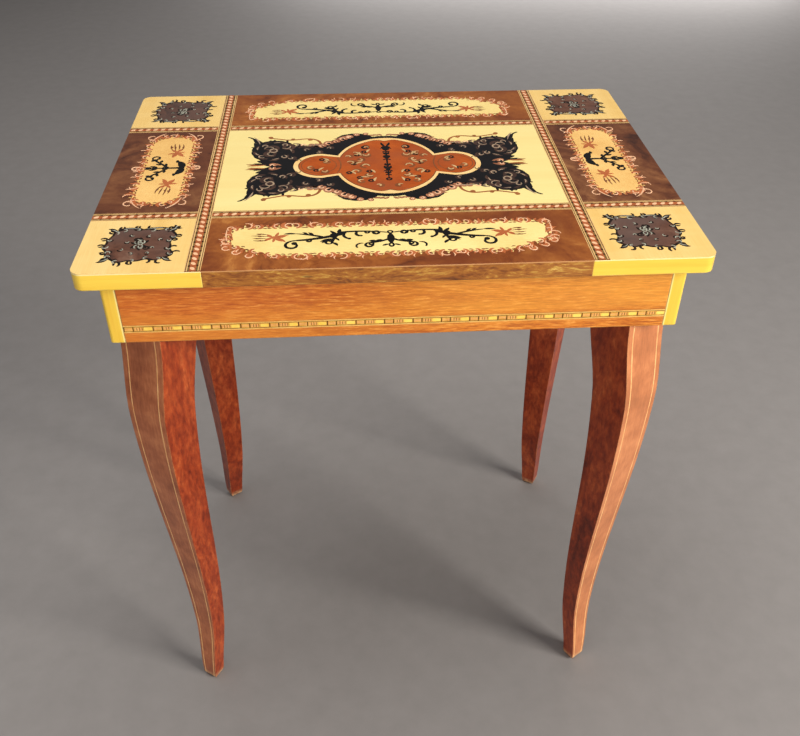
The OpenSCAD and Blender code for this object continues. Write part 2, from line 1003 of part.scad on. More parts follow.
// Going barrel: a cup with crown teeth round its upper rim
module barrel() {
  step = 360 / crown_n;
  color(brass)
    movement()
      union() {
        difference() {
          translate([0, 0, 4.2])
            cylinder(h = crown_z - crown_m - 0.2 - 4.2, r = 13, $fn = 60);
          translate([0, 0, 5.2])
            cylinder(h = 20, r = 11.4, $fn = 48);
          translate([0, 0, 3])
            cylinder(h = 4, r = 2.05, $fn = 32);
        }
        for (k = [0 : crown_n - 1])
          rotate([0, 0, (k + 0.5) * step])
            translate([crown_r - crown_face / 2, 0, crown_z])
              rotate([90, 0, 90])
                linear_extrude(crown_face)
                  crown_tooth();
      }
}

module crown_tooth() {
  w = PI * crown_m / 4 - 0.09;
  t = tan(20);
  polygon([[-w - (crown_m + 0.3) * t, -crown_m - 0.3], [w + (crown_m + 0.3) * t, -crown_m - 0.3],
    [w - 0.8 * crown_m * t, 0.8 * crown_m], [-w + 0.8 * crown_m * t, 0.8 * crown_m]]);
}

module barrel_cap() {
  color(brass)
    movement()
      difference() {
        translate([0, 0, 11.9])
          cylinder(h = 1, r = 11.4, $fn = 48);
        translate([0, 0, 11])
          cylinder(h = 4, r = 2.05, $fn = 32);
      }
}

// Spring strip wound from the arbor out to the barrel's wall
module mainspring() {
  turns = 5;
  per = 20;
  n = turns * per;
  r0 = 3.2;
  r1 = 11.1;
  color(steel)
    movement()
      translate([0, 0, 5.6])
        linear_extrude(5.6)
          polygon(concat(
            [for (i = [0 : n]) spiral_point(r0 + (r1 - 0.4 - r0) * i / n, i * 360 / per)],
            [for (i = [n : -1 : 0]) spiral_point(r0 + 0.4 + (r1 - 0.4 - r0) * i / n, i * 360 / per)]));
}

function spiral_point(r, a) = [r * cos(a), r * sin(a)];

// Sleeve with the pins that pluck the comb
module cylinder_sleeve() {
  pitch = (cyl_len - 1.1) / tines;
  translate([cyl_x0, 0, cyl_z])
    along_x()
      difference() {
        cylinder(h = cyl_len, r = cyl_r, $fn = 60);
        translate([0, 0, -1])
          cylinder(h = cyl_len + 2, r = 1, $fn = 24);
      }
  for (i = [0 : tines - 1])
    for (j = [0 : 2])
      translate([cyl_x0 + 0.55 + (i + 0.5) * pitch - 0.12, 0, cyl_z])
        rotate([17 + j * 120 + (i * 67) % 120, 0, 0])
          translate([0, 0, cyl_r - 0.3])
            cylinder(h = 1.2, r = 0.2, $fn = 6);
}

module music_cylinder() {
  color(brass)
    movement()
      cylinder_sleeve();
}

module cylinder_arbor() {
  pinion_x = crown_r - crown_face / 2;
  wheel_x = bearing_b + 2.5;
  color(brass)
    movement()
      translate([0, 0, cyl_z]) {
        translate([pinion_x, 0, 0])
          along_x()
            cylinder(h = bearing_b + 4.5 - pinion_x, r = 1, $fn = 24);
        translate([pinion_x, 0, 0])
          along_x()
            rotate(-90)
              gear(crown_m, pinion_n, crown_face, 0.14);
        translate([wheel_x, 0, 0])
          along_x()
            rotate(atan2(gov_z - cyl_z, gov_y))
              gear(wheel_m, wheel_n, 1.5, 0.1);
      }
}

module governor_wheel() {
  x0 = bearing_b + 2.5;
  color(brass)
    movement()
      translate([0, gov_y, gov_z]) {
        translate([bearing_b - 0.5, 0, 0])
          along_x()
            cylinder(h = worm_x + fly_r + 2 - bearing_b, r = 0.6, $fn = 24);
        translate([x0, 0, 0])
          along_x()
            rotate(180 + atan2(gov_z - cyl_z, gov_y) + 180 / gov_pinion_n)
              gear(wheel_m, gov_pinion_n, 1.5, 0.1);
        translate([worm_x - 0.6, 0, 0])
          along_x()
            gear(wheel_m, worm_wheel_n, 1.2, 0.3);
      }
}

// Worm with two starts and the fly's vanes on one upright spindle
module worm_fly() {
  h = 7;
  color(brass)
    movement()
      translate([worm_x, worm_y, 0]) {
        translate([0, 0, 3.6])
          cylinder(h = 21.6, r = 0.8, $fn = 24);
        translate([0, 0, gov_z - h / 2])
          rotate(-360 * h / 2 / worm_lead)
            linear_extrude(h, twist = -360 * h / worm_lead, slices = 48)
              worm_section();
        translate([0, 0, fly_z])
          union() {
            cylinder(h = 2.5, r = 1.8, $fn = 24);
            translate([-fly_r + 0.1, -0.4, 0])
              cube([2 * fly_r - 0.2, 0.8, 2.5]);
          }
      }
}

module worm_section() {
  polygon([for (k = [0, 1])
    for (p = [[-62, 1.85], [-34, 1.85], [-20, 2.95], [0, 3], [20, 2.95], [34, 1.85], [62, 1.85]])
      [p[1] * cos(p[0] + 180 * k), p[1] * sin(p[0] + 180 * k)]]);
}

// ---------- one line for each node ----------

lid_core();
lid_lining();
lipping_maple();
lipping_burl();
panel_centre();
panel_front();
panel_back();
panel_left();
panel_right();
panel_corners();
bandings_cross();
bandings_long();
hinge_lid_left();
hinge_lid_right();
hinge_screws_lid();
case_front();
case_back();
case_left();
case_right();
corner_posts();
case_bottom();
case_banding();
well_lining();
movement_box();
cover_ledges();
movement_cover();
cover_screws();
hinge_case_left();
hinge_case_right();
hinge_pins();
hinge_screws_case();
leg_fl();
leg_fr();
leg_bl();
leg_br();
leg_flanges();
flange_screws();
leg_bolts();
bedplate();
bedplate_screws();
arbor_bearings();
governor_frame();
comb();
comb_screws();
wrap_spring();
guide_tube();
plunger_spring();
stop_plunger();
winding_arbor();
winding_key();
barrel();
barrel_cap();
mainspring();
music_cylinder();
cylinder_arbor();
governor_wheel();
worm_fly();
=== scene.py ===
import bpy
import bmesh
import math
import random
from mathutils import Matrix, Vector, geometry


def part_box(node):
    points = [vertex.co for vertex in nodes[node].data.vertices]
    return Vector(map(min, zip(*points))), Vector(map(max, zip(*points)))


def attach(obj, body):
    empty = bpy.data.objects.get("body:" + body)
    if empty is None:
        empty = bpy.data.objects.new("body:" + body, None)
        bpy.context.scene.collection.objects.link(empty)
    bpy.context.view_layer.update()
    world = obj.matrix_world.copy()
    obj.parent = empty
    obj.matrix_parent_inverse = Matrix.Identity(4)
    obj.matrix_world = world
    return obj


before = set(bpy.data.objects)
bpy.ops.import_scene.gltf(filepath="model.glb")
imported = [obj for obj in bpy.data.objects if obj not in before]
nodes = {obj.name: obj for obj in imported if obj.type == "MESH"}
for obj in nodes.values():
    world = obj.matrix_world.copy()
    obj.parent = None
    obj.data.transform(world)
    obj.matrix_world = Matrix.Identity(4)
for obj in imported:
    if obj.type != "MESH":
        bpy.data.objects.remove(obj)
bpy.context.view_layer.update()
MM = 0.001

# --- camera, floor and lights

TOP_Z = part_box("panel_centre")[1].z

cam_data = bpy.data.cameras.new("camera")
cam_data.sensor_width = 36.0
cam_data.lens = 40.5
cam_data.clip_start = 0.02
cam = bpy.data.objects.new("camera", cam_data)
bpy.context.scene.collection.objects.link(cam)
turn = (Matrix.Rotation(-0.068, 3, "Z") @ Matrix.Rotation(-0.655, 3, "X") @ Matrix.Rotation(-0.007, 3, "Y"))
look = Matrix((turn @ Vector((1, 0, 0)), turn @ Vector((0, 0, 1)), turn @ Vector((0, -1, 0)))).transposed()
cam.matrix_world = Matrix.Translation((-0.0318, -0.6185, 0.7358)) @ look.to_4x4()
bpy.context.scene.camera = cam
bpy.context.scene.view_settings.view_transform = "Standard"


def add_object(name, data):
    obj = bpy.data.objects.new(name, data)
    bpy.context.scene.collection.objects.link(obj)
    return obj


def new_object(name, verts, faces):
    mesh = bpy.data.meshes.new(name)
    mesh.from_pydata([tuple(v) for v in verts], [], faces)
    mesh.update()
    return add_object(name, mesh)


def area_light(name, place, target, size, power, colour):
    data = bpy.data.lights.new(name, "AREA")
    data.shape = "RECTANGLE"
    data.size, data.size_y = size
    data.energy = power
    data.color = colour
    obj = add_object(name, data)
    obj.location = place
    obj.rotation_euler = (Vector(target) - Vector(place)).to_track_quat("-Z", "Y").to_euler()


area_light("key", (1.75, -1.2, 1.3), (0, 0, 0.35), (0.9, 0.9), 62, (1.0, 0.95, 0.86))
area_light("overhead", (-0.25, 0.05, 2.2), (-0.08, 0, 0.4), (1.8, 1.4), 29, (1.0, 0.97, 0.92))
area_light("front_fill", (0.1, -2.3, 0.24), (0, 0, 0.36), (1.6, 0.4), 20, (1.0, 0.95, 0.86))
area_light("left_fill", (-2.2, -0.4, 0.4), (0, 0, 0.3), (1.0, 0.6), 2, (0.96, 0.96, 1.0))
area_light("back_fill", (0.6, 2.4, 0.2), (0, 0, 0.3), (1.6, 0.3), 14, (1.0, 0.97, 0.94))

world = bpy.data.worlds.new("studio")
bpy.context.scene.world = world
world.use_nodes = True
sky = world.node_tree.nodes["Background"].inputs
sky["Color"].default_value = (0.9, 0.88, 0.86, 1)
sky["Strength"].default_value = 0.12

# --- materials


def linear(colour):
    """Scene-linear colour from three screen values of 0 to 255. Four values are linear already."""
    def one(c):
        c /= 255.0
        return c / 12.92 if c <= 0.04045 else ((c + 0.055) / 1.055) ** 2.4
    return (*map(one, colour), 1.0) if len(colour) == 3 else colour


M = {}  # the materials by name


class Nodes:
    """Small helper for building a material's node tree."""

    def __init__(self, name):
        self.name = name
        self.mat = bpy.data.materials.new(name)
        self.mat.use_nodes = True
        self.tree = self.mat.node_tree
        self.bsdf = self.tree.nodes["Principled BSDF"]
        self.coord = self.node("TexCoord").outputs["Object"]

    def node(self, kind, settings=None, **inputs):
        """A new node with its settings and inputs; an input's name has _ for a space."""
        n = self.tree.nodes.new("ShaderNode" + kind)
        for key, value in (settings or {}).items():
            setattr(n, key, value)
        for key, value in inputs.items():
            self.put(n.inputs[key.replace("_", " ")], value)
        return n

    def put(self, socket, value):
        if isinstance(value, bpy.types.NodeSocket):
            self.tree.links.new(value, socket)
        else:
            socket.default_value = linear(value) if socket.type == "RGBA" else value

    def vector(self, operation, a, b):
        n = self.node("VectorMath", {"operation": operation})
        self.put(n.inputs[0], a)
        self.put(n.inputs["Scale" if operation == "SCALE" else 1], b)
        return n.outputs["Value" if operation == "DOT_PRODUCT" else "Vector"]

    def mapping(self, scale=(1, 1, 1), rotation=(0, 0, 0), location=(0, 0, 0)):
        return self.node("Mapping", Scale=scale, Rotation=rotation, Location=location,
            Vector=self.coord).outputs["Vector"]

    def noise(self, vector, scale, detail=4.0, rough=0.55, distortion=0.0, output="Fac"):
        return self.node("TexNoise", Scale=scale, Detail=detail, Roughness=rough, Distortion=distortion,
            Vector=vector).outputs[output]

    def patches(self, scale, low, high, detail=4.0, rough=0.6, to=(0.0, 1.0)):
        """Soft patches, between the two values of to."""
        return self.span(self.noise(self.coord, scale, detail, rough), low, high, *to)

    def voronoi(self, vector, scale):
        return self.node("TexVoronoi", Scale=scale, Vector=vector).outputs["Distance"]

    def ramp(self, fac, stops):
        n = self.node("ValToRGB", Fac=fac)
        e = n.color_ramp.elements
        while len(e) > 1:
            e.remove(e[-1])
        e[0].position, e[0].color = stops[0][0], linear(stops[0][1])
        for p, c in stops[1:]:
            e.new(p).color = linear(c)
        return n.outputs["Color"]

    def span(self, value, a, b, c=0.0, d=1.0):
        return self.node("MapRange", Value=value, From_Min=a, From_Max=b, To_Min=c,
            To_Max=d).outputs["Result"]

    def math(self, operation, a, b=0.0):
        n = self.node("Math", {"operation": operation})
        self.put(n.inputs[0], a)
        self.put(n.inputs[1], b)
        return n.outputs["Value"]

    def times(self, a, b):
        return self.math("MULTIPLY", a, b)

    def blend(self, a, share_a, b, share_b):
        return self.math("ADD", self.times(a, share_a), self.times(b, share_b))

    def mix(self, fac, a, b):
        return self.node("Mix", {"data_type": "RGBA"}, Factor=fac, A=a, B=b).outputs["Result"]

    def warp(self, vector, noise_scale, amount):
        """The vector pushed about by a colour noise, for swirled figure."""
        push = self.vector("SUBTRACT", self.noise(vector, noise_scale, 3.0, output="Color"),
            (0.5, 0.5, 0.5))
        return self.vector("ADD", vector, self.vector("SCALE", push, amount))

    def edge(self, radius):
        """1 on arrises and 0 on flat faces, and the normal with rounded arrises."""
        rounded = self.node("Bevel", {"samples": 4}, Radius=radius).outputs["Normal"]
        flat = self.node("NewGeometry").outputs["Normal"]
        return self.span(self.vector("DOT_PRODUCT", rounded, flat), 0.995, 0.86), rounded

    def worn(self, colour, radius, wear, scale, low, amount):
        """The colour with arrises rubbed paler in patches, and the normal with rounded arrises."""
        mask, rounded = self.edge(radius)
        if wear is not None:
            rubbed = self.times(mask, self.patches(scale, low, 0.62))
            colour = self.mix(self.times(rubbed, amount), colour, wear)
        return colour, rounded

    def axis(self, name):
        """One coordinate of the point in the frame, in metres."""
        return self.node("SeparateXYZ", Vector=self.coord).outputs[name]

    def facing(self, way):
        """Cosine between the surface's flat normal and a direction."""
        return self.vector("DOT_PRODUCT", self.node("TexCoord").outputs["Normal"], way)

    def bump(self, height, strength, distance, normal=None):
        n = self.node("Bump", Strength=strength, Distance=distance, Height=height)
        if normal is not None:
            self.put(n.inputs["Normal"], normal)
        return n.outputs["Normal"]

    def finish(self, colour, rough, normal=None, coat=0.0, coat_rough=0.08, metallic=0.0, sheen=0.0,
            specular=0.5):
        i = self.bsdf.inputs
        self.put(i["Base Color"], colour)
        self.put(i["Roughness"], rough)
        if normal is not None:
            self.put(i["Normal"], normal)
        for name, value in (("Coat Weight", coat), ("Coat Roughness", coat_rough), ("Metallic", metallic),
                ("Specular IOR Level", specular), ("Sheen Weight", sheen)):
            i[name].default_value = value
        M[self.name] = self.mat
        return self.mat


ALONG = {"x": (1, 0, 0), "y": (0, 1, 0), "z": (0, 0, 1)}


def stretch(grain, along, across=1.0):
    """Scale of a pattern drawn out along the grain."""
    return tuple(along if on else across for on in ALONG[grain])


def grained(name, dark, mid, light, grain="x", figure=14.0, pores=0.35, pore_colour=None, coat=0.9,
        rough=(0.28, 0.42), wear=None, streak=0.5, ripple=0.0, offset=0.0, edges=True, lines=None):
    """Straight-grained lacquered wood: broad figure, fine fibres, short pores, smudged gloss, worn arrises."""
    n = Nodes(name)
    along = n.mapping(stretch(grain, 0.06), location=(offset, offset * 0.7, offset * 0.3))
    broad = n.noise(n.warp(along, figure * 0.8, 0.012), figure * 2.2, 4.0, 0.55, 0.4)
    bands = n.noise(n.mapping(stretch(grain, 0.021), location=(offset, 0.3, 0.1)), figure * 11, 5.0, 0.6)
    colour = n.ramp(n.span(n.blend(broad, 1 - streak, bands, streak), 0.32, 0.68),
        [(0.0, dark), (0.5, mid), (1.0, light)])
    fibre = n.noise(n.mapping(stretch(grain, 0.03)), 1500.0, 2.0, 0.6)
    colour = n.mix(n.span(fibre, 0.35, 0.7, 0.0, 0.35), colour, dark)
    pore = n.span(n.noise(n.mapping(stretch(grain, 0.042)), 700.0, 1.0, 0.4), 0.66, 0.74)
    colour = n.mix(n.times(pore, pores), colour, pore_colour or dark)
    if ripple:
        cross = n.noise(n.mapping(stretch(grain, 1.0, 0.25)), 130.0, 2.0, 0.5)
        colour = n.mix(n.span(cross, 0.4, 0.75, 0.0, ripple), colour, light)
    if lines:
        colour = lines(n, colour)
    normal = None
    if edges:
        colour, normal = n.worn(colour, 0.0012, wear, 55.0, 0.4, 0.6)
    normal = n.bump(n.math("SUBTRACT", fibre, n.times(pore, 0.8)), 0.25, 0.00006, normal)
    return n.finish(colour, n.patches(26.0, 0.3, 0.7, 5.0, to=rough), normal, coat, 0.09, specular=0.35)


def burled(name, stops, scale=34.0, flow=(1, 1, 1), coat=1.0, coat_rough=0.07, eyes=0.5, eye_colour=None,
        wear=None, offset=0.0, swirl=0.03, rough=(0.25, 0.4), blotch=None, edges=True, fine=0.4,
        lines=None, specular=0.35):
    """Burl veneer: folded swirls, dark eyes, fine flecks under gloss lacquer."""
    n = Nodes(name)
    base = n.mapping(flow, location=(offset, offset * 1.7, offset * 0.6))
    folded = n.warp(n.warp(base, scale * 0.45, swirl), scale * 1.6, swirl * 0.35)
    figure = n.noise(folded, scale, 6.0, 0.62, 1.2)
    fleck = n.noise(folded, scale * 9, 4.0, 0.65)
    colour = n.ramp(n.span(n.blend(figure, 1 - fine * 0.5, fleck, fine * 0.5), 0.34, 0.66), stops)
    if blotch is not None:
        cloud = n.noise(n.warp(base, scale * 0.3, swirl), scale * 0.35, 3.0, 0.5)
        colour = n.mix(n.span(cloud, 0.42, 0.62, 0.0, 0.75), colour, blotch)
    spots = n.span(n.voronoi(folded, scale * 3.4), 0.10, 0.22, 1.0, 0.0)
    rare = n.span(n.noise(base, scale * 1.1, 2.0), 0.52, 0.6)
    colour = n.mix(n.times(n.times(spots, rare), eyes), colour, eye_colour or stops[0][1])
    if lines:
        colour = lines(n, colour)
    normal = None
    if edges:
        colour, normal = n.worn(colour, 0.001, wear, 70.0, 0.38, 0.7)
    normal = n.bump(fleck, 0.15, 0.00006, normal)
    gloss = n.patches(18.0, 0.3, 0.7, 5.0, 0.65, rough)
    return n.finish(colour, gloss, normal, coat, coat_rough, specular=specular)


def metal(name, colour, dull):
    """Rolled or turned metal with fine brushing, tarnish in patches and a painted highlight that whitens the
    arrises.
    """
    n = Nodes(name)
    patch = n.patches(180.0, 0.4, 0.68, 5.0, to=(0.0, 0.35))
    mask, rounded = n.edge(0.0003)
    # Painted highlight: the arrises are mixed a little towards white.
    colour = n.mix(n.times(mask, 0.35), n.mix(patch, colour, dull), (1, 1, 1, 1))
    brush = n.noise(n.coord, 2600.0, 2.0, 0.6)
    rough = n.span(n.math("ADD", patch, n.times(brush, 0.3)), 0.1, 0.7, 0.3, 0.46)
    return n.finish(colour, rough, n.bump(brush, 0.06, 0.000008, rounded), metallic=1.0)


def felted(name, dark, mid, light):
    """Short-pile felt: matted fibres, uneven dye, light fuzz."""
    n = Nodes(name)
    clump = n.noise(n.coord, 260.0, 5.0, 0.7)
    fibre = n.noise(n.warp(n.coord, 700.0, 0.0012), 3200.0, 3.0, 0.7)
    colour = n.ramp(n.span(n.blend(clump, 0.5, fibre, 0.5), 0.32, 0.68),
        [(0.0, dark), (0.55, mid), (1.0, light)])
    colour = n.mix(n.patches(22.0, 0.42, 0.7, to=(0.0, 0.35)), colour, light)
    return n.finish(colour, 0.95, n.bump(n.math("ADD", clump, fibre), 0.6, 0.0003), sheen=0.35,
        specular=0.2)


def inlay(name, dark, light, grain="x", mottle=60.0, shade=None):
    """A small piece of dyed or natural veneer under the same lacquer."""
    n = Nodes(name)
    fibre = n.noise(n.mapping(stretch(grain, 0.2)), 1100.0, 3.0, 0.6)
    cloud = n.noise(n.coord, mottle, 3.0, 0.55)
    colour = n.ramp(n.span(n.blend(fibre, 0.4, cloud, 0.6), 0.33, 0.67), [(0.0, dark), (1.0, light)])
    if shade is not None:
        colour = n.mix(n.patches(24.0, 0.45, 0.65, 3.0, 0.5, (0.0, 0.7)), colour, shade)
    gloss = n.patches(26.0, 0.3, 0.7, 5.0, to=(0.25, 0.4))
    return n.finish(colour, gloss, n.bump(fibre, 0.15, 0.00004), 0.7, 0.08, specular=0.12)


TOP_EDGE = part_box("lipping_maple")[1].z
band_low, band_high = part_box("case_banding")
# Where the posts end and the boards begin, on the front and on the ends
front_strip = [v.co.x for v in nodes["case_banding"].data.vertices if v.co.y < band_low.y + 1e-5]
POST_IN = Vector((max(map(abs, front_strip)), band_high.y, 0))


def veneer_edge(colour):
    """The cut edge of the top veneer shows as a pale line along the lid's upper arris."""
    def draw(n, under):
        ragged = n.times(n.noise(n.coord, 900.0, 2.0), 0.0003)
        line = n.span(n.math("ADD", n.axis("Z"), ragged), TOP_EDGE - 0.0007, TOP_EDGE - 0.0005)
        return n.mix(n.times(line, 0.85), under, colour)
    return draw


def post_lines(pale, dark):
    """A fine dark joint and a pale line where a post meets the case boards."""
    def draw(n, under):
        x, y = n.math("ABSOLUTE", n.axis("X")), n.math("ABSOLUTE", n.axis("Y"))
        for width, colour in ((0.0014, pale), (0.0005, dark)):
            line = n.math("MAXIMUM", n.span(x, POST_IN.x + width, POST_IN.x + width - 0.0002),
                n.span(y, POST_IN.y + width, POST_IN.y + width - 0.0002))
            under = n.mix(n.times(line, 0.8), under, colour)
        return under
    return draw


def leg_wood(way, gold):
    """The outer face is painted paler and plainer than the other three, a painted reflection of the lacquer's
    gloss on that face, and the toe is rubbed bare.
    gold: how far that outer face leans to a golden orange; the right-hand legs are given more of it as painted
    light from the key lamp on the right."""
    def draw(n, under):
        ripple = n.noise(n.mapping((1, 1, 0.35), rotation=(0.5, 0.6, 0.3)), 300.0, 3.0, 0.6)
        under = n.mix(n.span(ripple, 0.42, 0.66, 0.0, 0.5), under, (96, 26, 8))
        streaks = n.noise(n.mapping((1, 1, 0.12), location=(0.3, 0.9, 0.2)), 620.0, 3.0, 0.65)
        clouds = n.noise(n.coord, 42.0, 4.0, 0.6)
        # Painted reflection: the outer face gets a paler, plainer wood than the other three faces.
        veneer = n.ramp(n.span(n.blend(streaks, 0.35, clouds, 0.65), 0.34, 0.66),
            [(0.0, (138, 72, 44)), (0.5, (172, 98, 62)), (1.0, (202, 128, 84))])
        veneer = n.mix(gold, veneer, (224, 158, 100))
        under = n.mix(n.span(n.facing(way), 0.6, 0.75), under, veneer)
        rubbed = n.times(n.span(n.axis("Z"), 0.009, 0.002), n.span(n.noise(n.coord, 240.0), 0.3, 0.6))
        return n.mix(n.times(rubbed, 0.85), under, (214, 176, 132))
    return draw


def case_wood(way):
    """Short wavy fibres and golden clouds over the straight grain, and on the front a painted shade that
    darkens and reddens the left end.
    """
    def draw(n, under):
        wavy = n.warp(n.mapping(stretch(way, 0.1)), 90.0, 0.002)
        fibre = n.noise(wavy, 820.0, 4.0, 0.75)
        under = n.mix(n.span(fibre, 0.48, 0.62, 0.0, 0.8), under, (156, 70, 12))
        under = n.mix(n.span(fibre, 0.46, 0.34, 0.0, 0.6), under, (252, 184, 92))
        gold = n.noise(n.mapping(stretch(way, 0.1), location=(0.4, 0.2, 0.6)), 26.0, 3.0, 0.5)
        under = n.mix(n.span(gold, 0.42, 0.62, 0.0, 0.55), under, (242, 168, 60))
        # Painted shade: the front darkens and reddens towards its left end, away from the key lamp on the
        # right.
        if way == "x":
            under = n.mix(n.span(n.axis("X"), 0.02, -0.19, 0.0, 0.45), under, (196, 92, 24))
        return under
    return draw


LEG_TURN = math.radians(33.5)
LEGS = (("leg_fl", -1, -1), ("leg_fr", 1, -1), ("leg_bl", -1, 1), ("leg_br", 1, 1))


def leg_out(sx, sy):
    """The way a leg's outer face looks."""
    return Vector((sx * math.sin(LEG_TURN), sy * math.cos(LEG_TURN), 0))


grained("maple_centre", (246, 220, 142), (252, 230, 154), (255, 238, 166), "x", figure=9, pores=0.10,
    coat=0.8, offset=0.4, edges=False, streak=0.25)
grained("maple_corner", (234, 188, 104), (248, 208, 128), (254, 222, 150), "y", figure=11, pores=0.2,
    coat=0.8, ripple=0.25, offset=1.1, edges=False, streak=0.3)
grained("maple_edge", (236, 186, 56), (250, 214, 80), (254, 230, 112), "x", figure=10, pores=0.2, coat=0.7,
    wear=(252, 236, 180), offset=0.8, streak=0.3, lines=veneer_edge((255, 238, 176)))
grained("maple_post", (232, 178, 50), (248, 210, 76), (254, 226, 104), "z", figure=10, pores=0.25,
    coat=0.7, wear=(250, 232, 170), offset=2.1, lines=post_lines((254, 234, 150), (96, 56, 22)))
grained("plywood", (168, 128, 80), (196, 156, 104), (214, 180, 130), "x", figure=12, pores=0.4, coat=0.0,
    rough=(0.6, 0.8))
grained("walnut_front", (178, 88, 18), (216, 124, 34), (238, 156, 52), "x", figure=17, pores=0.4,
    pore_colour=(122, 56, 14), coat=0.6, ripple=0.2, wear=(236, 176, 104), offset=0.2, streak=0.4,
    lines=case_wood("x"))
grained("walnut_side", (172, 84, 18), (210, 118, 32), (232, 150, 50), "y", figure=17, pores=0.4,
    pore_colour=(118, 54, 14), coat=0.6, ripple=0.2, wear=(230, 168, 98), offset=1.7, streak=0.4,
    lines=case_wood("y"))
burled("burl_long", [(0.0, (84, 34, 8)), (0.35, (136, 70, 22)), (0.7, (164, 94, 36)),
    (1.0, (192, 124, 58))], scale=24, eyes=0.5, eye_colour=(66, 22, 6), blotch=(110, 46, 12), offset=0.3,
    edges=False, coat=0.8)
burled("burl_side", [(0.0, (62, 28, 14)), (0.35, (104, 56, 30)), (0.7, (132, 82, 48)),
    (1.0, (160, 108, 66))], scale=24, eyes=0.6, eye_colour=(52, 20, 10), blotch=(98, 50, 26), offset=2.3,
    edges=False, coat=0.8)
burled("burl_edge", [(0.0, (76, 36, 6)), (0.3, (132, 72, 18)), (0.62, (166, 104, 34)),
    (0.85, (196, 150, 66)), (1.0, (226, 190, 104))], scale=46, flow=(0.4, 0.4, 1.5), eyes=0.6,
    eye_colour=(66, 28, 8), wear=(206, 150, 84), offset=1.3, swirl=0.024, fine=0.95, coat=0.7,
    lines=veneer_edge((206, 150, 96)))
felted("felt", (70, 6, 12), (112, 14, 24), (150, 34, 44))
metal("brass", (214, 176, 96), (150, 112, 52))
metal("steel", (190, 192, 196), (120, 122, 128))
# Painted light: the right-hand legs get gold 0.22 and the left-hand ones 0.02, standing for the key lamp on
# the right.
for leg, sx, sy in LEGS:
    burled(leg, [(0.0, (88, 26, 8)), (0.4, (142, 52, 20)), (0.75, (172, 76, 34)), (1.0, (194, 100, 52))],
        scale=30, flow=(1, 1, 0.5), eyes=0.25, eye_colour=(70, 18, 6), wear=(224, 160, 104), swirl=0.022,
        coat=0.35, coat_rough=0.14, rough=(0.34, 0.5), offset=0.9 + 0.4 * sx + 0.3 * sy, fine=0.8,
        specular=0.22, lines=leg_wood(leg_out(sx, sy), 0.12 + 0.1 * sx))

NODE_MATERIAL = {"maple_centre": ["panel_centre"], "maple_corner": ["panel_corners"],
    "maple_edge": ["lipping_maple"], "maple_post": ["corner_posts"],
    "burl_long": ["panel_front", "panel_back"], "burl_side": ["panel_left", "panel_right"],
    "burl_edge": ["lipping_burl"], "plywood": ["lid_core", "case_bottom", "movement_box", "cover_ledges"],
    "walnut_front": ["case_front", "case_back", "movement_cover"],
    "walnut_side": ["case_left", "case_right"], **{leg: [leg] for leg, _, _ in LEGS},
    "felt": ["lid_lining", "well_lining"],
    "brass": ["bedplate", "arbor_bearings", "comb_screws", "guide_tube", "barrel", "barrel_cap",
    "music_cylinder", "cylinder_arbor", "governor_wheel", "worm_fly", "cover_screws", "hinge_lid_left",
    "hinge_lid_right", "hinge_case_left", "hinge_case_right", "hinge_screws_lid", "hinge_screws_case"],
    "steel": ["leg_flanges", "flange_screws", "leg_bolts", "bedplate_screws", "governor_frame", "comb",
    "wrap_spring", "plunger_spring", "stop_plunger", "winding_arbor", "winding_key", "mainspring",
    "hinge_pins"]}


def dress(name, mat):
    """Gives a CAD node its material in every slot."""
    slots = nodes[name].data.materials
    if not len(slots):
        slots.append(mat)
    for i in range(len(slots)):
        slots[i] = mat


for key, names in NODE_MATERIAL.items():
    for name in names:
        dress(name, M[key])

floor_nodes = Nodes("studio_floor")
speck = floor_nodes.noise(floor_nodes.coord, 40.0, 4.0, 0.6)
floor_mat = floor_nodes.finish(floor_nodes.ramp(speck, [(0.3, (0.235, 0.222, 0.222, 1)),
    (0.7, (0.255, 0.241, 0.241, 1))]), 0.85)
floor = new_object("floor", [(-6, -6, 0), (6, -6, 0), (6, 6, 0), (-6, 6, 0)], [(0, 1, 2, 3)])
floor.data.materials.append(floor_mat)

# --- flat shapes for the marquetry


def unit(deg):
    return Vector((math.cos(math.radians(deg)), math.sin(math.radians(deg))))


def vec(x, y):
    return Vector((x, y))


def oval(deg, rx, ry):
    """A point on an upright oval round the origin."""
    return vec(unit(deg).x * rx, unit(deg).y * ry)


class Line:
    """A sampled centre line with a width along it. Millimetres and degrees."""

    def __init__(self, start, heading, length, turn, tight, width, wave=0.0):
        steps = max(8, int(abs(turn) / 16) + int(length / 4) + 5)
        p = Vector(start)
        self.points, self.heads = [p.copy()], [heading]
        for i in range(1, steps + 1):
            s = i / steps
            mid = (i - 0.5) / steps
            h = heading + turn * mid ** tight + wave * math.sin(2 * math.pi * mid)
            p = p + unit(h) * (length / steps)
            self.points.append(p.copy())
            self.heads.append(heading + turn * s ** tight + wave * math.sin(2 * math.pi * s))
        self.width = width

    def at(self, s):
        return self.points[round(s * (len(self.points) - 1))]

    def wide(self, s):
        a, b, c = self.width
        return a * (1 - s) * (1 - 2 * s) + 4 * b * s * (1 - s) + c * s * (2 * s - 1)


def flat_box(x0, y0, x1, y1):
    return [Vector(p) for p in ((x0, y0), (x1, y0), (x1, y1), (x0, y1))]


def round_shape(centre, rx, ry=None, turn=0.0, n=14):
    ry = rx if ry is None else ry
    u, v = unit(turn), unit(turn + 90)
    c = Vector(centre)
    return [c + u * (rx * math.cos(2 * math.pi * i / n)) + v * (ry * math.sin(2 * math.pi * i / n))
        for i in range(n)]


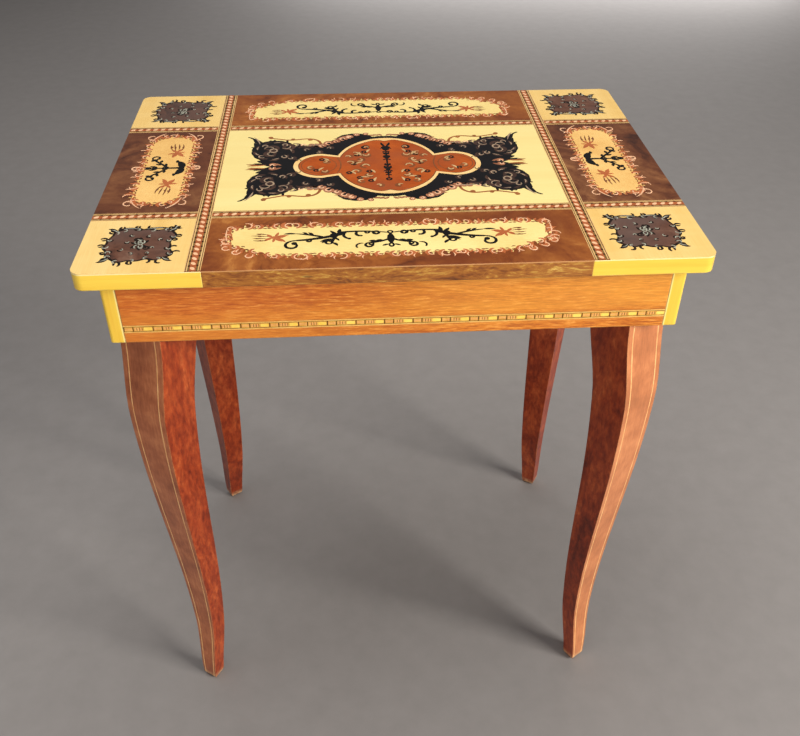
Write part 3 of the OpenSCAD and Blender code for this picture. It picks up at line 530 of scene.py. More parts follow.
class Drawing:
    """Closed flat shapes: strips along lines and filled outlines."""

    def __init__(self):
        self.shapes = []

    def stroke(self, line, bulb=0.0):
        left, right, n = [], [], len(line.points) - 1
        for i, (p, h) in enumerate(zip(line.points, line.heads)):
            w = max(0.06, line.wide(i / n)) / 2
            side = unit(h + 90)
            left.append(p + side * w)
            right.append(p - side * w)
        self.shapes.append(("strip", left, right))
        if line.width[0] > 0.5:
            self.fill(round_shape(line.points[0], line.width[0] / 2, n=10))
        if bulb:
            self.fill(round_shape(line.points[-1], bulb, n=12))
        elif line.width[2] > 0.5:
            self.fill(round_shape(line.points[-1], line.width[2] / 2, n=10))
        return line

    def scroll(self, start, heading, length, turn, width=1.0, tight=1.7, bulb=0.0):
        """A line that curls up into a spiral and may end in a round knob."""
        return self.stroke(Line(start, heading, length, turn, tight, (width * 0.5, width, width * 0.7)),
            bulb)

    def leaf(self, start, heading, length, width, turn):
        return self.stroke(Line(start, heading, length, turn, 1.0, (0.15, width, 0.05)))

    def grow(self, *rows):
        """Leaves (start, heading, length, width, turn) and scrolls (six or seven values), in this order."""
        for row in rows:
            (self.leaf if len(row) == 5 else self.scroll)(*row)

    def fill(self, *outlines):
        self.shapes.extend(("fill", outline, None) for outline in outlines)

    def ring(self, inner, outer):
        """Closed band between two outlines with as many points."""
        self.shapes.append(("ring", inner, outer))

    def hoop(self, centre, inner, outer, n, turn=0.0):
        """Band between two ovals, each given by its two half axes."""
        self.ring(round_shape(centre, *inner, turn, n), round_shape(centre, *outer, turn, n))

    def copy(self, move):
        """The same shapes with every point moved by a function."""
        d = Drawing()
        for kind, a, b in self.shapes:
            d.shapes.append((kind, [move(p) for p in a], [move(p) for p in b] if b else None))
        return d

    def add(self, other):
        self.shapes.extend(other.shapes)
        return self

    def mirrored(self, upwards_too=False):
        d = Drawing().add(self)
        d.add(d.copy(lambda p: vec(-p.x, p.y)))
        if upwards_too:
            d.add(d.copy(lambda p: vec(p.x, -p.y)))
        return d


LAYER = 0.04 * MM  # from one layer of veneer to the next
SINK = 0.25 * MM  # how far a piece is let into the panel
STEP_UP = 0.0022 * MM  # from one of a piece's overlapping shapes to the next


def shape_steps(drawing):
    """A small step in height for each shape, so that overlapping ones are never in one plane."""
    boxes, steps = [], []
    for kind, a, b in drawing.shapes:
        pts = a + (b or [])
        xs, ys = [p.x for p in pts], [p.y for p in pts]
        box = (min(xs), max(xs), min(ys), max(ys))
        used = {steps[i] for i, o in enumerate(boxes) if o[0] < box[1] and box[0] < o[1] and o[2] < box[3]
            and box[2] < o[3]}
        steps.append(next(k for k in range(len(used) + 1) if k not in used))
        boxes.append(box)
    return steps


def add_piece(name, verts, faces, mat, body):
    """A piece of inlay with its faces turned outwards, which rides on a body."""
    obj = new_object(name, verts, faces)
    bm = bmesh.new()
    bm.from_mesh(obj.data)
    bmesh.ops.recalc_face_normals(bm, faces=bm.faces)
    bm.to_mesh(obj.data)
    bm.free()
    obj.data.materials.append(mat)
    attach(obj, body)


def cut(name, drawing, mat, layer, places, body="lid"):
    """Makes one piece from a drawing: thin closed tiles, let into the veneer, at each place.
    A place is a function from a flat point in millimetres and a height in metres to a point in the frame."""
    verts, faces = [], []

    def prism(loop_top, loop_low, caps):
        n, base = len(loop_top), len(verts)
        verts.extend(loop_top)
        verts.extend(loop_low)
        for i in range(n):
            j = (i + 1) % n
            faces.append((base + i, base + j, base + n + j, base + n + i))
        for tri in caps:
            faces.append(tuple(base + k for k in reversed(tri)))
            faces.append(tuple(base + n + k for k in tri))

    steps = shape_steps(drawing)
    for place in places:
        for step, (kind, a, b) in zip(steps, drawing.shapes):
            up = LAYER * layer + step * STEP_UP
            if kind == "strip":
                loop = a + b[::-1]
                n = len(a)
                caps = [(i, i + 1, 2 * n - 2 - i, 2 * n - 1 - i) for i in range(n - 1)]
            elif kind == "fill":
                loop = a
                caps = [tuple(t) for t in geometry.tessellate_polygon([[p.to_3d() for p in a]])]
            else:
                n, base = len(a), len(verts)
                for line, w in ((a, up), (b, up), (a, -SINK), (b, -SINK)):
                    verts.extend(place(p, w) for p in line)
                for i in range(n):
                    q = [base + k * n + m for k in range(4) for m in (i, (i + 1) % n)]
                    faces.extend(tuple(q[m] for m in quad)
                        for quad in ((0, 1, 3, 2), (4, 6, 7, 5), (0, 4, 5, 1), (2, 3, 7, 6)))
                continue
            prism([place(p, up) for p in loop], [place(p, -SINK) for p in loop], caps)
    add_piece(name, verts, faces, mat, body)


def cut_all(prefix, places, **parts):
    """parts: the last part of each piece's name, and its drawing, material and layer."""
    for part, (drawing, mat, layer) in parts.items():
        cut(f"{prefix}_{part}", drawing, mat, layer, places)


def on_lid(cx=0.0, cy=0.0, sx=1, sy=1):
    """Places a drawing on the lid's top, centred at cx, cy millimetres, mirrored by the signs."""
    return lambda p, w: Vector(((cx + sx * p.x) * MM, (cy + sy * p.y) * MM, TOP_Z + w))


def drawings(count):
    """As many empty drawings."""
    return (Drawing() for _ in range(count))


BLACK = inlay("inlay_black", (5, 4, 4), (17, 13, 11))
CREAM = inlay("inlay_cream", (240, 208, 130), (254, 232, 158), mottle=30)
CREAM_SIDE = inlay("inlay_cream_side", (228, 176, 100), (252, 208, 132), "y", mottle=30)
TERRA = inlay("inlay_terracotta", (160, 84, 46), (206, 122, 74), shade=(180, 96, 52))
PINK = inlay("inlay_pink", (232, 170, 128), (252, 208, 170))
BROWN = inlay("inlay_brown", (96, 54, 30), (140, 84, 50))
DARK = inlay("inlay_dark_brown", (14, 9, 7), (44, 28, 20))

# --- cartouches of the four burl panels

STEP = 0.8  # between the points of an outline, mm


def stadium(half_x, half_y, corner):
    """Points and outward headings round a rectangle with round corners."""
    out = []
    corners = [(Vector((cx * (half_x - corner), cy * (half_y - corner))), k * 90)
        for k, (cx, cy) in enumerate(((1, 1), (-1, 1), (-1, -1), (1, -1)))]
    for k, (c, a0) in enumerate(corners):
        n = max(3, int(corner * math.pi / 2 / STEP))
        for i in range(n + 1):
            a = a0 + 90 * i / n
            out.append((c + unit(a) * corner, a))
        far = corners[(k + 1) % 4][0] + unit(a0 + 90) * corner
        last = out[-1][0]
        m = int((far - last).length / STEP)
        for i in range(1, m):
            out.append((last.lerp(far, i / m), a0 + 90))
    return out


def cartouche(half_x, half_y, corner, seed, pitch=9.6, slant=None):
    """Returns the cream field with its flickering edge, terracotta flames, pale curls and dark accents.
    slant: length and height cut off the two lower corners."""
    rng = random.Random(seed)
    rim = stadium(half_x, half_y, corner)
    if slant:
        cut_x, cut_y = slant
        rim = [(Vector((p.x, p.y * (1 - cut_y / half_y * max(0.0, abs(p.x) - half_x + cut_x) / cut_x)))
            if p.y < 0 else p, a) for p, a in rim]
    field, flames, curls, accents = drawings(4)
    outline, n = [], len(rim)
    for i, (p, a) in enumerate(rim):
        s = 2 * math.pi * i / n
        flick = 0.5 * math.sin(s * 41) + 0.4 * math.sin(s * 67 + 1.0) + 0.35 * rng.uniform(-1, 1)
        outline.append(p + unit(a) * flick)
    field.fill(outline)
    i, way = 0, 1
    while i < n:
        p, a = rim[i]
        way = way if rng.random() < 0.35 else -way
        out = unit(a)
        side = unit(a + 90) * way
        size = rng.choice((0.7, 1.0, 1.0, 1.35))
        flames.scroll(p - out * 1.9 - side * 1.9, a + way * 78, 7.2 * size, -way * rng.uniform(120, 210),
            2.0, 1.2)
        curls.scroll(p - out * 1.3 - side * 2.2, a + way * 60, 7.8 * size, -way * rng.uniform(140, 250),
            0.75, 1.2)
        flames.leaf(p + out * 0.2 + side * 1.8, a - way * 60, 4.5 + 1.5 * rng.random(), 1.7, way * 80)
        accents.leaf(p - out * 1.4 + side * 1.2, a + 180 - way * 60, 3.2, 1.0, -way * 80)
        if rng.random() < 0.5:
            curls.leaf(p + out * 2.2 + side * 1.0, a - way * 50, 4.5, 0.8, way * 90)
        i += max(3, int(pitch * (0.36 + 0.22 * rng.random()) / STEP))
        if i >= n:
            break
        p, a = rim[i]
        out = unit(a)
        field.leaf(p - out * 0.8, a + way * 35, 3.2 + 1.2 * rng.random(), 1.5, -way * 60)
        flames.leaf(p - out * 0.6, a - way * 75, 4.2 + 1.6 * rng.random(), 1.4, way * 50)
        accents.leaf(p + out * 0.6, a + way * 80, 2.6, 0.8, -way * 40)
        if rng.random() < 0.6:
            flames.leaf(p + out * 0.4, a + way * 20, 3.4, 1.3, -way * 70)
        i += max(3, int(pitch * (0.36 + 0.22 * rng.random()) / STEP))
    return field, flames, curls, accents


def spray(petals, stems, at, out, reach=12.0):
    """A ragged flower head and thin stems that run on from it."""
    at = Vector(at)
    for k, (off, length, wide) in enumerate(((-62, 6.5, 1.9), (-34, 9.0, 2.2), (-8, 7.5, 2.6),
            (18, 9.5, 2.2), (46, 7.5, 2.0), (74, 5.5, 1.8), (150, 6.5, 2.6), (205, 5.5, 2.4))):
        petals.leaf(at - unit(out + off) * 0.8, out + 180 + off, length, wide, 34 if k % 2 else -26)
    petals.fill(round_shape(at, 2.2, 1.7, out, 9))
    for k, off in enumerate((-18, -7, 5, 16)):
        start = at + unit(out) * (3.6 + k % 2) + unit(out + 90) * (off * 0.2)
        stems.grow((start, out + off * 1.3, reach - abs(off) * 0.15 - 2 * (k % 2), 1.1, -off * 2.0),
            (start + unit(out) * 4.0, out + off * 1.3 - 30, 3.4, 1.0, 60))


# front and back panels: one cartouche each, with a horizontal arabesque
LONG_X, LONG_Y = 104.0, 18.4
field, flames, curls, accents = cartouche(LONG_X, LONG_Y, 9.0, 4, slant=(29.0, 15.0))
for cx in (-1, 1):
    # long strokes down the end, and small scrolls where the lower corner is cut off
    p = Vector((cx * (LONG_X - 1), LONG_Y - 5))
    flames.grow((p, 90 - cx * 20, 8.0, 2.2, cx * 60), (p + vec(cx, 3), -90, 15, 2.4, -cx * 26))
    curls.grow((p + vec(cx * 2.4, 5), -90 + cx * 8, 19, 0.9, -cx * 24),
        (p + vec(cx * 1.5, 2.0), 90 - cx * 40, 9, cx * 230, 0.8, 1.4))
    for k, (x, y) in enumerate(((101, -8.5), (94, -12.5), (86, -15.5))):
        q = vec(cx * x, y)
        flames.scroll(q, -90 + cx * (60 - 30 * k), 9.5, cx * 230, 2.2, 1.2)
        curls.scroll(q + vec(cx, -0.6), -90 + cx * (50 - 30 * k), 10.5, cx * 250, 0.85, 1.3)

arab_mid = Drawing()
arab_mid.hoop((0, 8.2), (0.9, 0.9), (2.2, 2.2), 18)
arab_mid.stroke(Line((0, 6.4), -90, 12.5, 0, 1, (1.2, 5.0, 1.6)))
arab_mid.hoop((0, -8.4), (0.8, 1.1), (2.0, 2.9), 18)
# right half; the left one is its mirror image
arab = Drawing()
top = arab.stroke(Line((1.8, 7.6), 14, 31, -22, 1.0, (0.9, 1.7, 1.9)))
arab.grow((top.at(0.3), -70, 14, -420, 1.9, 1.2, 1.1), (top.at(0.62), -40, 8.5, -150, 2.1, 1.2, 0.9),
    (top.at(0.82), -36, 11.5, -130, 2.0, 1.1, 1.2), (top.at(0.5), -60, 5.0, -200, 1.6, 1.2, 0.7))
knot = vec(33.0, 6.4)
arab.grow((knot + vec(-3.5, 1.5), -10, 8.0, 3.6, -20), (knot, 84, 7.5, 2.8, 24),
    (knot + vec(1, 0), 36, 7.5, 2.4, 24))
main = arab.stroke(Line(knot + vec(-1, 0.5), -24, 29, 20, 1.0, (3.2, 2.7, 1.8)))
arab.grow((main.at(1.0), -4, 25, -330, 2.0, 1.5, 1.9), (main.at(0.78), -50, 9.0, -380, 1.5, 1.2, 1.1),
    (main.at(0.24), 70, 10.5, 330, 2.2, 1.1, 2.0))
arm = arab.stroke(Line(main.at(0.4), 26, 19, -18, 1.0, (2.0, 1.8, 0.8)))
arab.grow((arm.at(0.35), 62, 5.5, 2.0, -30), (arm.at(0.62), 60, 5.0, 1.8, -40),
    (arm.at(0.95), 12, 8.5, 2.0, -25))
low = arab.stroke(Line(knot + vec(2, -2), -62, 10, -20, 1.0, (2.2, 2.2, 1.2)))
arab.grow((low.at(0.35), -12, 9.5, 2.9, -18), (low.at(0.6), 8, 8.0, 2.2, -60),
    (low.at(1.0), -30, 9.0, 250, 1.7, 1.2, 1.2), (low.at(0.85), -160, 6.0, 2.2, 60),
    (low.at(0.2), -150, 5.0, 1.8, 50))
foot = arab.stroke(Line((1.0, -0.6), -36, 13, 30, 1.0, (2.2, 1.7, 1.6)))
arab.grow((foot.at(0.3), 26, 6.0, 2.4, -70), (foot.at(0.72), 40, 6.0, 3.0, -60),
    (foot.at(1.0), 6, 12, -270, 1.8, 1.2, 1.1), (foot.at(0.95), -20, 7.5, -330, 1.6, 1.1, 0.8),
    (foot.at(1.0) + vec(5, -0.5), 10, 8, -130, 1.4, 1.1, 0.7), ((1.4, -7.6), -8, 5.0, 1.8, -30))
arab = arab.mirrored().add(arab_mid)

petals, stems = drawings(2)
spray(petals, stems, (75, 4.5), 6)
petals, stems = petals.mirrored(), stems.mirrored()

LONG_CENTRE = 110.3
long_places = [on_lid(-3.6, -LONG_CENTRE), on_lid(-2.0, LONG_CENTRE - 1, 1, -1)]
cut_all("cartouche_long", long_places, field=(field, CREAM, 1), flames=(flames, TERRA, 2),
    accents=(accents, BROWN, 3), curls=(curls, PINK, 4), arabesque=(arab, BLACK, 3),
    petals=(petals, TERRA, 3), stems=(stems, BROWN, 3))

# end panels: an upright cartouche each, with a sprig whose flower points to the middle of the lid
SIDE_X, SIDE_Y = 17.0, 56.0
field, flames, curls, accents = cartouche(SIDE_X, SIDE_Y, 15.0, 9, pitch=10.4)
for cx in (-1, 1):
    for cy in (-1, 1):
        p = Vector((cx * (SIDE_X - 2), cy * (SIDE_Y - 9)))
        up = cy * 90
        curls.grow((p + vec(cx * 2, 0), up + cx * cy * 4, 19, 1.0, cx * cy * 50),
            (p + vec(cx * 3, cy * 4), up - cx * cy * 60, 12, cx * cy * 200, 0.9, 1.5))
        flames.grow((p, up, 13, 2.2, cx * cy * 40), (p + vec(cx, cy * 7), up + cx * cy * 30, 10,
            cx * cy * 150, 1.8, 1.2))
    p = vec(cx * SIDE_X, 0)
    for cy in (-1, 1):
        curls.scroll(p + vec(cx, 0), 90 - cx * 90 + cy * cx * 65, 14, -cy * cx * 280, 0.9, 1.4)
        flames.scroll(p, 90 - cx * 90 + cy * cx * 30, 8, -cy * cx * 220, 1.7, 1.1)

sprig = Drawing()
stem = sprig.stroke(Line((10.0, 0), 180, 20, 0, 1, (3.0, 1.9, 1.6)))
sprig.fill(round_shape((11.0, 0), 2.4, 3.2, n=16))
for way in (-1, 1):
    sprig.grow(((13.0, way * 0.4), way * 106, 12.5, 5.2, way * 22),
        ((9.5, way * 1.5), way * 72, 6.5, 3.2, way * 60), ((6.5, way * 9.0), way * 70, 4.5, 2.4, way * 30))
    branch = sprig.stroke(Line(stem.at(0.38), 180 - way * 50, 20, way * 4, 1.0, (1.7, 1.9, 1.6)))
    sprig.grow((branch.at(0.2), 180 - way * 100, 5.0, 2.2, way * 30),
        (branch.at(0.45), 180 + way * 10, 5.5, 2.4, -way * 50),
        (branch.at(0.62), way * 50, 5.0, 2.4, way * 50), (branch.at(1.0), way * 118, 12.0, -way * 250, 1.8,
        1.3, 1.4), (branch.at(0.8), way * 60, 6.5, way * 230, 1.7, 1.2, 1.4),
        (stem.at(0.8), 180 - way * 48, 7.0, 2.8, way * 40),
        (stem.at(1.0), 180 - way * 24, 6.0, 2.8, way * 30),
        (stem.at(0.62), 180 - way * 70, 6.0, -way * 260, 1.7, 1.2, 1.2))
petals, stems = drawings(2)
for way in (-1, 1):
    spray(petals, stems, (4.5, way * 27), way * 97, 14.0)

SIDE_CENTRE = 162.0
side_places = [on_lid(-SIDE_CENTRE, 1.5), on_lid(SIDE_CENTRE, 1.5, -1, 1)]
cut_all("cartouche_side", side_places, field=(field, CREAM_SIDE, 1), flames=(flames, TERRA, 2),
    accents=(accents, BROWN, 3), curls=(curls, PINK, 4), sprig=(sprig, BLACK, 3),
    petals=(petals, TERRA, 3), stems=(stems, BROWN, 3))

# --- corner medallions

MEDAL = burled("inlay_medallion", [(0.0, (56, 30, 20)), (0.4, (98, 58, 40)), (0.75, (112, 72, 54)),
    (1.0, (134, 98, 78))], scale=40, eyes=0.2, offset=0.7, edges=False, blotch=(98, 78, 72), fine=0.35)
SILVER = inlay("inlay_silver", (112, 112, 104), (196, 196, 178), mottle=160)
rng = random.Random(12)
rim = stadium(20.2, 19.6, 9.5)
count = len(rim)
medal, medal_edge, medal_light, medal_mid = drawings(4)
round_trip = 2 * math.pi / count
outline = [p + unit(a) * (1.1 * math.sin(i * round_trip * 5 + 0.6) + 0.6 * math.sin(i * round_trip * 13 + 2))
    for i, (p, a) in enumerate(rim)]
medal.fill(outline)
ways = [(i, p, unit(a)) for i, (p, (_, a)) in enumerate(zip(outline, rim))]
medal_edge.ring([p - out * (0.3 + 0.5 * abs(math.sin(i * 0.21))) for i, p, out in ways],
    [p + out * (0.4 + 0.8 * abs(math.sin(i * 0.13 + 1))) for i, p, out in ways])
i = 0
while i < count:
    p, a = outline[i], rim[i][1]
    way = rng.choice((-1, 1))
    out = unit(a)
    medal_edge.scroll(p + out * 0.2, a + way * 70, 4.0 + 2.4 * rng.random(),
        -way * (100 + 80 * rng.random()), 1.7, 1.2, 0.6)
    if rng.random() < 0.45:
        medal_edge.leaf(p + out * 0.4, a - way * 40, 3.4 + 1.6 * rng.random(), 1.6, way * 60)
    medal_light.scroll(p - out * (1.2 + 1.2 * rng.random()), a - way * 100, 3.6 + 2.2 * rng.random(),
        way * (140 + 100 * rng.random()), 0.9, 1.2)
    if rng.random() < 0.7:
        medal_mid.scroll(p - out * (2.4 + rng.random()), a - way * 110, 4.2 + 2.0 * rng.random(),
            way * (150 + 90 * rng.random()), 1.1, 1.2)
    i += rng.randint(8, 13)
# a crest over the middle of one side and horns at the corners
for way in (-1, 1):
    medal_edge.grow(((way * 1.0, 20.0), 90 - way * 74, 15, -way * 34, 1.9, 1.3, 0.9),
        ((way * 3.0, 20.4), 90 - way * 30, 6, -way * 230, 1.5, 1.2, 0.9))
    medal_light.scroll((way * 2.0, 19.9), 90 - way * 70, 10, -way * 30, 0.8, 1.2)
for cx, cy in ((-1, 1), (1, 1), (1, -1), (-1, -1)):
    p = vec(cx * 16.6, cy * 16.4)
    out = math.degrees(math.atan2(cy, cx))
    medal_edge.grow((p, out + cx * cy * 20, 8.4, 2.6, -cx * cy * 60),
        (p, out - cx * cy * 40, 6.0, 1.8, cx * cy * 60))
    medal_light.leaf(p, out + cx * cy * 20, 6.0, 0.9, -cx * cy * 60)
# a small sprig off the corner that points to the middle of the lid
medal_edge.stroke(Line((16, 16), 48, 7, 0, 1, (1.2, 1.4, 1.0)))
for off in (-60, -15, 40, 95):
    medal_edge.leaf((20.0, 20.4), 48 + off, 4.4, 2.2, 20)
medal_light.leaf((19.6, 20.0), 60, 4.0, 0.9, 20)
# a cluster of leaves in the middle
for k, (a, length, wide, turn) in enumerate(((80, 8.5, 3.0, 30), (120, 7.0, 2.6, -30), (30, 7.0, 2.6, 40),
        (-30, 6.5, 2.8, -40), (-95, 7.0, 2.6, 30), (-150, 6.5, 2.6, 40), (165, 6.0, 2.4, -30))):
    medal_mid.leaf(unit(a) * 0.8, a, length, wide, turn)
    medal_light.scroll(unit(a) * 1.6, a - 8, length * 0.7, turn * 3, 0.9, 1.1)
medal_mid.grow(((0, 6), 100, 8, 260, 1.6, 1.2, 1.0), ((3, -5), -60, 8, 260, 1.6, 1.2, 1.0))
medal_light.hoop((0.5, 1.0), (0.9, 0.9), (1.8, 1.8), 12)
for k in range(8):
    a = 45 * k + 15 + 16 * rng.random()
    p = unit(a) * (10.0 + 4.5 * rng.random())
    medal_mid.scroll(p, a + 110, 5.5, 220 if k % 2 else -240, 1.1, 1.2, 0.7)
    medal_light.scroll(p + vec(0.5, 0.6), a + 120, 3.6, 200 if k % 2 else -200, 0.7, 1.2)
CORNER_X, CORNER_Y = 163.0, 110.0
corner_places = [on_lid(sx * CORNER_X, sy * CORNER_Y, -sx, -sy) for sx in (-1, 1) for sy in (-1, 1)]
cut_all("medallion", corner_places, field=(medal, MEDAL, 1), edge=(medal_edge, DARK, 2),
    flower=(medal_mid, DARK, 2), lights=(medal_light, SILVER, 3))

# --- centre ornament

WING_X, WING_Y = 84.5, 27.5


def round_field(centre, rx, ry, lobes, depth, n=72):
    """A round outline with small scallops."""
    return [Vector(centre) + oval(360 * i / n, rx, ry) * (
        1 + depth * abs(math.sin(math.pi * lobes * i / n))) for i in range(n)]


# one quarter; the other three are its mirror images
quarter, wing_marks, wing_lights, shell, shell_light, tendril = drawings(6)
w = vec(WING_X, WING_Y)
quarter.fill(*(round_field(*f) for f in ((w, 16.8, 19.0, 15, 0.03), ((66, 18), 14, 19, 9, 0.05),
    ((47, 24), 15, 15, 9, 0.05), ((23, 46.5), 14, 10.5, 11, 0.05), ((35, 36), 10, 9, 9, 0.05))))
quarter.grow(((93.5, 31), 82, 23.0, 5.6, -30), ((97.0, 28), 84, 16, 3.6, -14),
    ((100.4, 48), 72, 8.0, -50, 1.7, 1.2), ((88, 43), 64, 5, 1.8, 60), ((76, 43), 120, 5, 1.8, -50),
    ((84, 10), -24, 13, 6.0, 50), ((84, 3.2), 4, 15, 2.6, 16), ((103.5, 4.2), 184, 12, 2.2, -12))
for k in range(6):
    a = 196 - 34 * k
    quarter.leaf(w + oval(a, 15.5, 17.5), a - 62, 4.2, 1.9, 70)
# the scallops down the shoulder between the top boss and the wing
for k, size in enumerate((10.5, 12.5, 9.0, 13.0, 10.0)):
    p = vec(28 + 5.3 * k, 52.0 - 3.9 * k)
    quarter.fill(round_shape(p - vec(1.5, 2.6), 5.6, 4.8, -38, 14))
    shell.scroll(p + vec(-1.2, -3.6), 8 + 7 * (k % 3), size, 270, 2.9, 1.2, 1.4)
    shell_light.scroll(p + vec(-0.5, -3.0), 14 + 7 * (k % 3), size * 0.7, 250, 1.1, 1.2)
    shell.leaf(p + vec(1.5, -2.5), 70 - 12 * k, 4.6 + k % 2, 1.9, -60)
for x, y, size in ((20.5, 53.5, 9.0), (13.5, 54.8, 7.0), (26.5, 49.5, 8.0)):
    shell.scroll((x, y), -10, size, 320, 2.3, 1.2, 1.2)
    shell_light.scroll((x + 0.5, y + 0.3), 0, size * 0.6, 280, 1.0, 1.2)
for k in range(3):
    shell.leaf((1.5 + 3.0 * k, 52.2), 62 - 10 * k, 5.2, 2.2, -50)
shell.grow(((49, 34), 80, 8, 2.6, -70), ((55, 35.5), 120, 8, -260, 2.0, 1.2, 1.2))
shell_light.scroll((61, 36.5), 100, 7, -240, 1.2, 1.2)
shell.scroll((86, 1.6), 60, 8.5, 250, 2.4, 1.1, 1.1)
shell_light.scroll((86, 1.6), 66, 5.5, 240, 1.0, 1.1)
shell.leaf((78, 2.0), 20, 6, 2.0, 30)
# brown scrollwork in the wings
for a, length, turn in ((20, 26, 330), (150, 24, -320), (265, 24, 330)):
    p = w + oval(a, 7.5, 9.0)
    wing_marks.scroll(p, a + 70, length, turn, 2.8, 1.2, 1.5)
    wing_lights.scroll(p + vec(0.6, 0.8), a + 76, length * 0.4, turn * 0.5, 1.0, 1.1)
for k in range(9):
    a = 40 * k + 8
    p = w + oval(a, 12.2, 14.2)
    wing_marks.leaf(p, a + 58, 9.0, 2.6, 60)
    if k % 2 == 0:
        wing_lights.leaf(p + vec(0.5, 0.5), a + 62, 5.5, 1.0, 50)
wing_lights.hoop(w + vec(0.5, 0.5), (2.0, 2.5), (3.3, 3.9), 20)
wing_lights.grow((w + vec(-8, -8), 200, 10, 290, 1.2, 1.2), (w + vec(9, 8), 70, 9, 270, 1.1, 1.2),
    (w + vec(7, -11), -40, 9, 250, 1.1, 1.2), (w + vec(-9, 9), 130, 9, -260, 1.1, 1.2),
    ((63, 36), 168, 15, 1.5, 20), ((96, 40), 84, 15, 1.3, -30))
wing_marks.grow(((66, 33), 166, 17, 2.6, 22), ((69, 10), 150, 15, 2.2, 40))
# the thin tendril that runs out over the maple
first = tendril.stroke(Line((50, 36), 108, 18, -104, 1.0, (2.2, 1.9, 1.5)))
second = tendril.stroke(Line(first.at(1), 2, 30, 4, 1.0, (1.5, 1.6, 1.3), wave=-15))
tendril.grow((first.at(0.9), -20, 8, -360, 1.4, 1.2, 1.5), (second.at(0.42), 30, 6, 330, 1.3, 1.2, 1.4),
    (second.at(1.0), 10, 7, 330, 1.4, 1.2, 1.7), ((103, 1.6), 172, 14, 2.0, 6),
    ((104, 4.6), 196, 10, 1.6, -12))
for x, y, a, length, t in ((60, 26, 30, 7, 230), (52, 22, 200, 6, -220), (44, 30, 80, 6, 240),
        (70, 40, 170, 8, 160), (66, 8, 60, 6, 240), (73, 14, 250, 7, -240)):
    wing_marks.scroll((x, y), a, length * 1.5, t, 1.8, 1.2)
    wing_lights.scroll((x + 0.5, y + 0.6), a + 10, length, t, 0.9, 1.2)
body_d = quarter.mirrored(True)
body_d.fill(round_field((0, 0), 44.0, 51.5, 36, 0.01, n=108))
body_d.fill([Vector(p) for p in ((-70, -22), (-70, 22), (70, 22), (70, -22))])
body_d.fill([Vector(p) for p in ((-76, -6), (-76, 6), (76, 6), (76, -6))])
for s in (-1, 1):
    for y in (-1, 1):
        body_d.leaf((s * 66, y * 5), 90 - s * 90 + s * y * 4, 28, 13, -s * y * 10)
wing_marks, wing_lights, shell, shell_light, tendril = (d.mirrored(True)
    for d in (wing_marks, wing_lights, shell, shell_light, tendril))


def trefoil_outline(rx, ry, lobe_x, lobe_r, dip=0.0):
    """Outline of an upright oval with a round lobe on each side, dipped at the top and the bottom."""
    pts = []
    n = 220
    for i in range(n):
        d = unit(360 * i / n)
        far = 1 / math.sqrt((d.x / rx) ** 2 + (d.y / ry) ** 2)
        far -= dip * math.exp(-(d.x * 13) ** 2) - dip * 0.35 * math.exp(-((abs(d.x) - 0.2) * 9) ** 2)
        for sx in (-1, 1):
            b = d.x * sx * lobe_x
            disc = b * b - lobe_x ** 2 + lobe_r ** 2
            if disc > 0:
                far = max(far, b + math.sqrt(disc))
        pts.append(d * far)
    return pts


trefoil_rim, shadow_d, trefoil, lobes = drawings(4)
trefoil_rim.fill(trefoil_outline(38.8, 47.5, 49.0, 20.3))
trefoil.fill(trefoil_outline(36.0, 43.2, 48.6, 16.4, 2.2))
shadow_d.fill(trefoil_outline(36.8, 44.0, 48.4, 17.4, 2.0))
for s in (-1, 1):
    lobes.stroke(Line((s * 37.0, -12.5), 90 + s * 24, 26, -s * 48, 1.0, (0.7, 1.1, 0.7)))
    lobes.hoop((s * 50.5, 0), (12.6, 12.8), (13.2, 13.4), 40)

marks, marks_light, marks_dark = drawings(3)
for p, a, length, t in (((24, 21), 150, 15, 300), ((12.5, 18), 250, 13, 250), ((29, 4), 110, 16, 310),
        ((13, -3), 80, 14, -260), ((25, -13), 60, 14, 290), ((11, -19), 300, 12, 260),
        ((18, -26), 30, 11, -280), ((8.5, -34), 130, 9, 260), ((30, 14), 100, 9, 240),
        ((46, 8), 170, 11, 290), ((55, -2), 10, 12, -290), ((44, -9), 240, 11, 280),
        ((21, 6), 200, 12, -280)):
    marks.scroll(p, a, length, t, 2.3, 1.2, 1.2)
    marks_light.scroll(Vector(p) + vec(0.6, 0.7), a + 10, length * 0.55, t * 0.7, 1.3, 1.1)
for p, turn in (((17, 20), 30), ((21, 15), -10), ((15, -10), 160), ((26, 0), 60), ((23, -22), 100),
        ((13, -29), 20), ((50, 11), 140), ((53, -10), 40), ((30, -12), 150)):
    marks_dark.scroll(p, turn, 9, 300, 1.7, 1.2, 1.1)
    marks_light.leaf(Vector(p) + vec(-2.5, 1.0), turn + 60, 6.5, 1.8, 50)
marks_dark.hoop((15.5, 30.5), (1.3, 1.6), (3.2, 3.6), 18, 20)
marks_light.scroll((13.5, 29.5), 120, 6, -230, 0.8, 1.1)
marks, marks_light, marks_dark = marks.mirrored(), marks_light.mirrored(), marks_dark.mirrored()

spine, spine_mid = drawings(2)
spine_mid.stroke(Line((0, 31), -90, 55, 0, 1, (1.0, 1.3, 0.9)))
for y, size in ((31.0, 8.5), (24.0, 5.5), (16.5, 4.5), (10.0, 5.5), (-3.0, 4.5), (-9.0, 6.5), (-16.0, 4.0)):
    spine.grow(((0.2, y), 50, size, 2.1, 40), ((0.2, y - 1.5), -10, size * 0.6, 1.5, -50))
spine_mid.fill(round_shape((0, 29.5), 3.4, 2.6), round_shape((0, 11.5), 1.6, 2.6),
    round_shape((0, -9.0), 1.6, 2.2))
spine_mid.hoop((0, -25.0), (1.0, 1.0), (2.4, 2.4), 14)
spine = spine.mirrored().add(spine_mid)

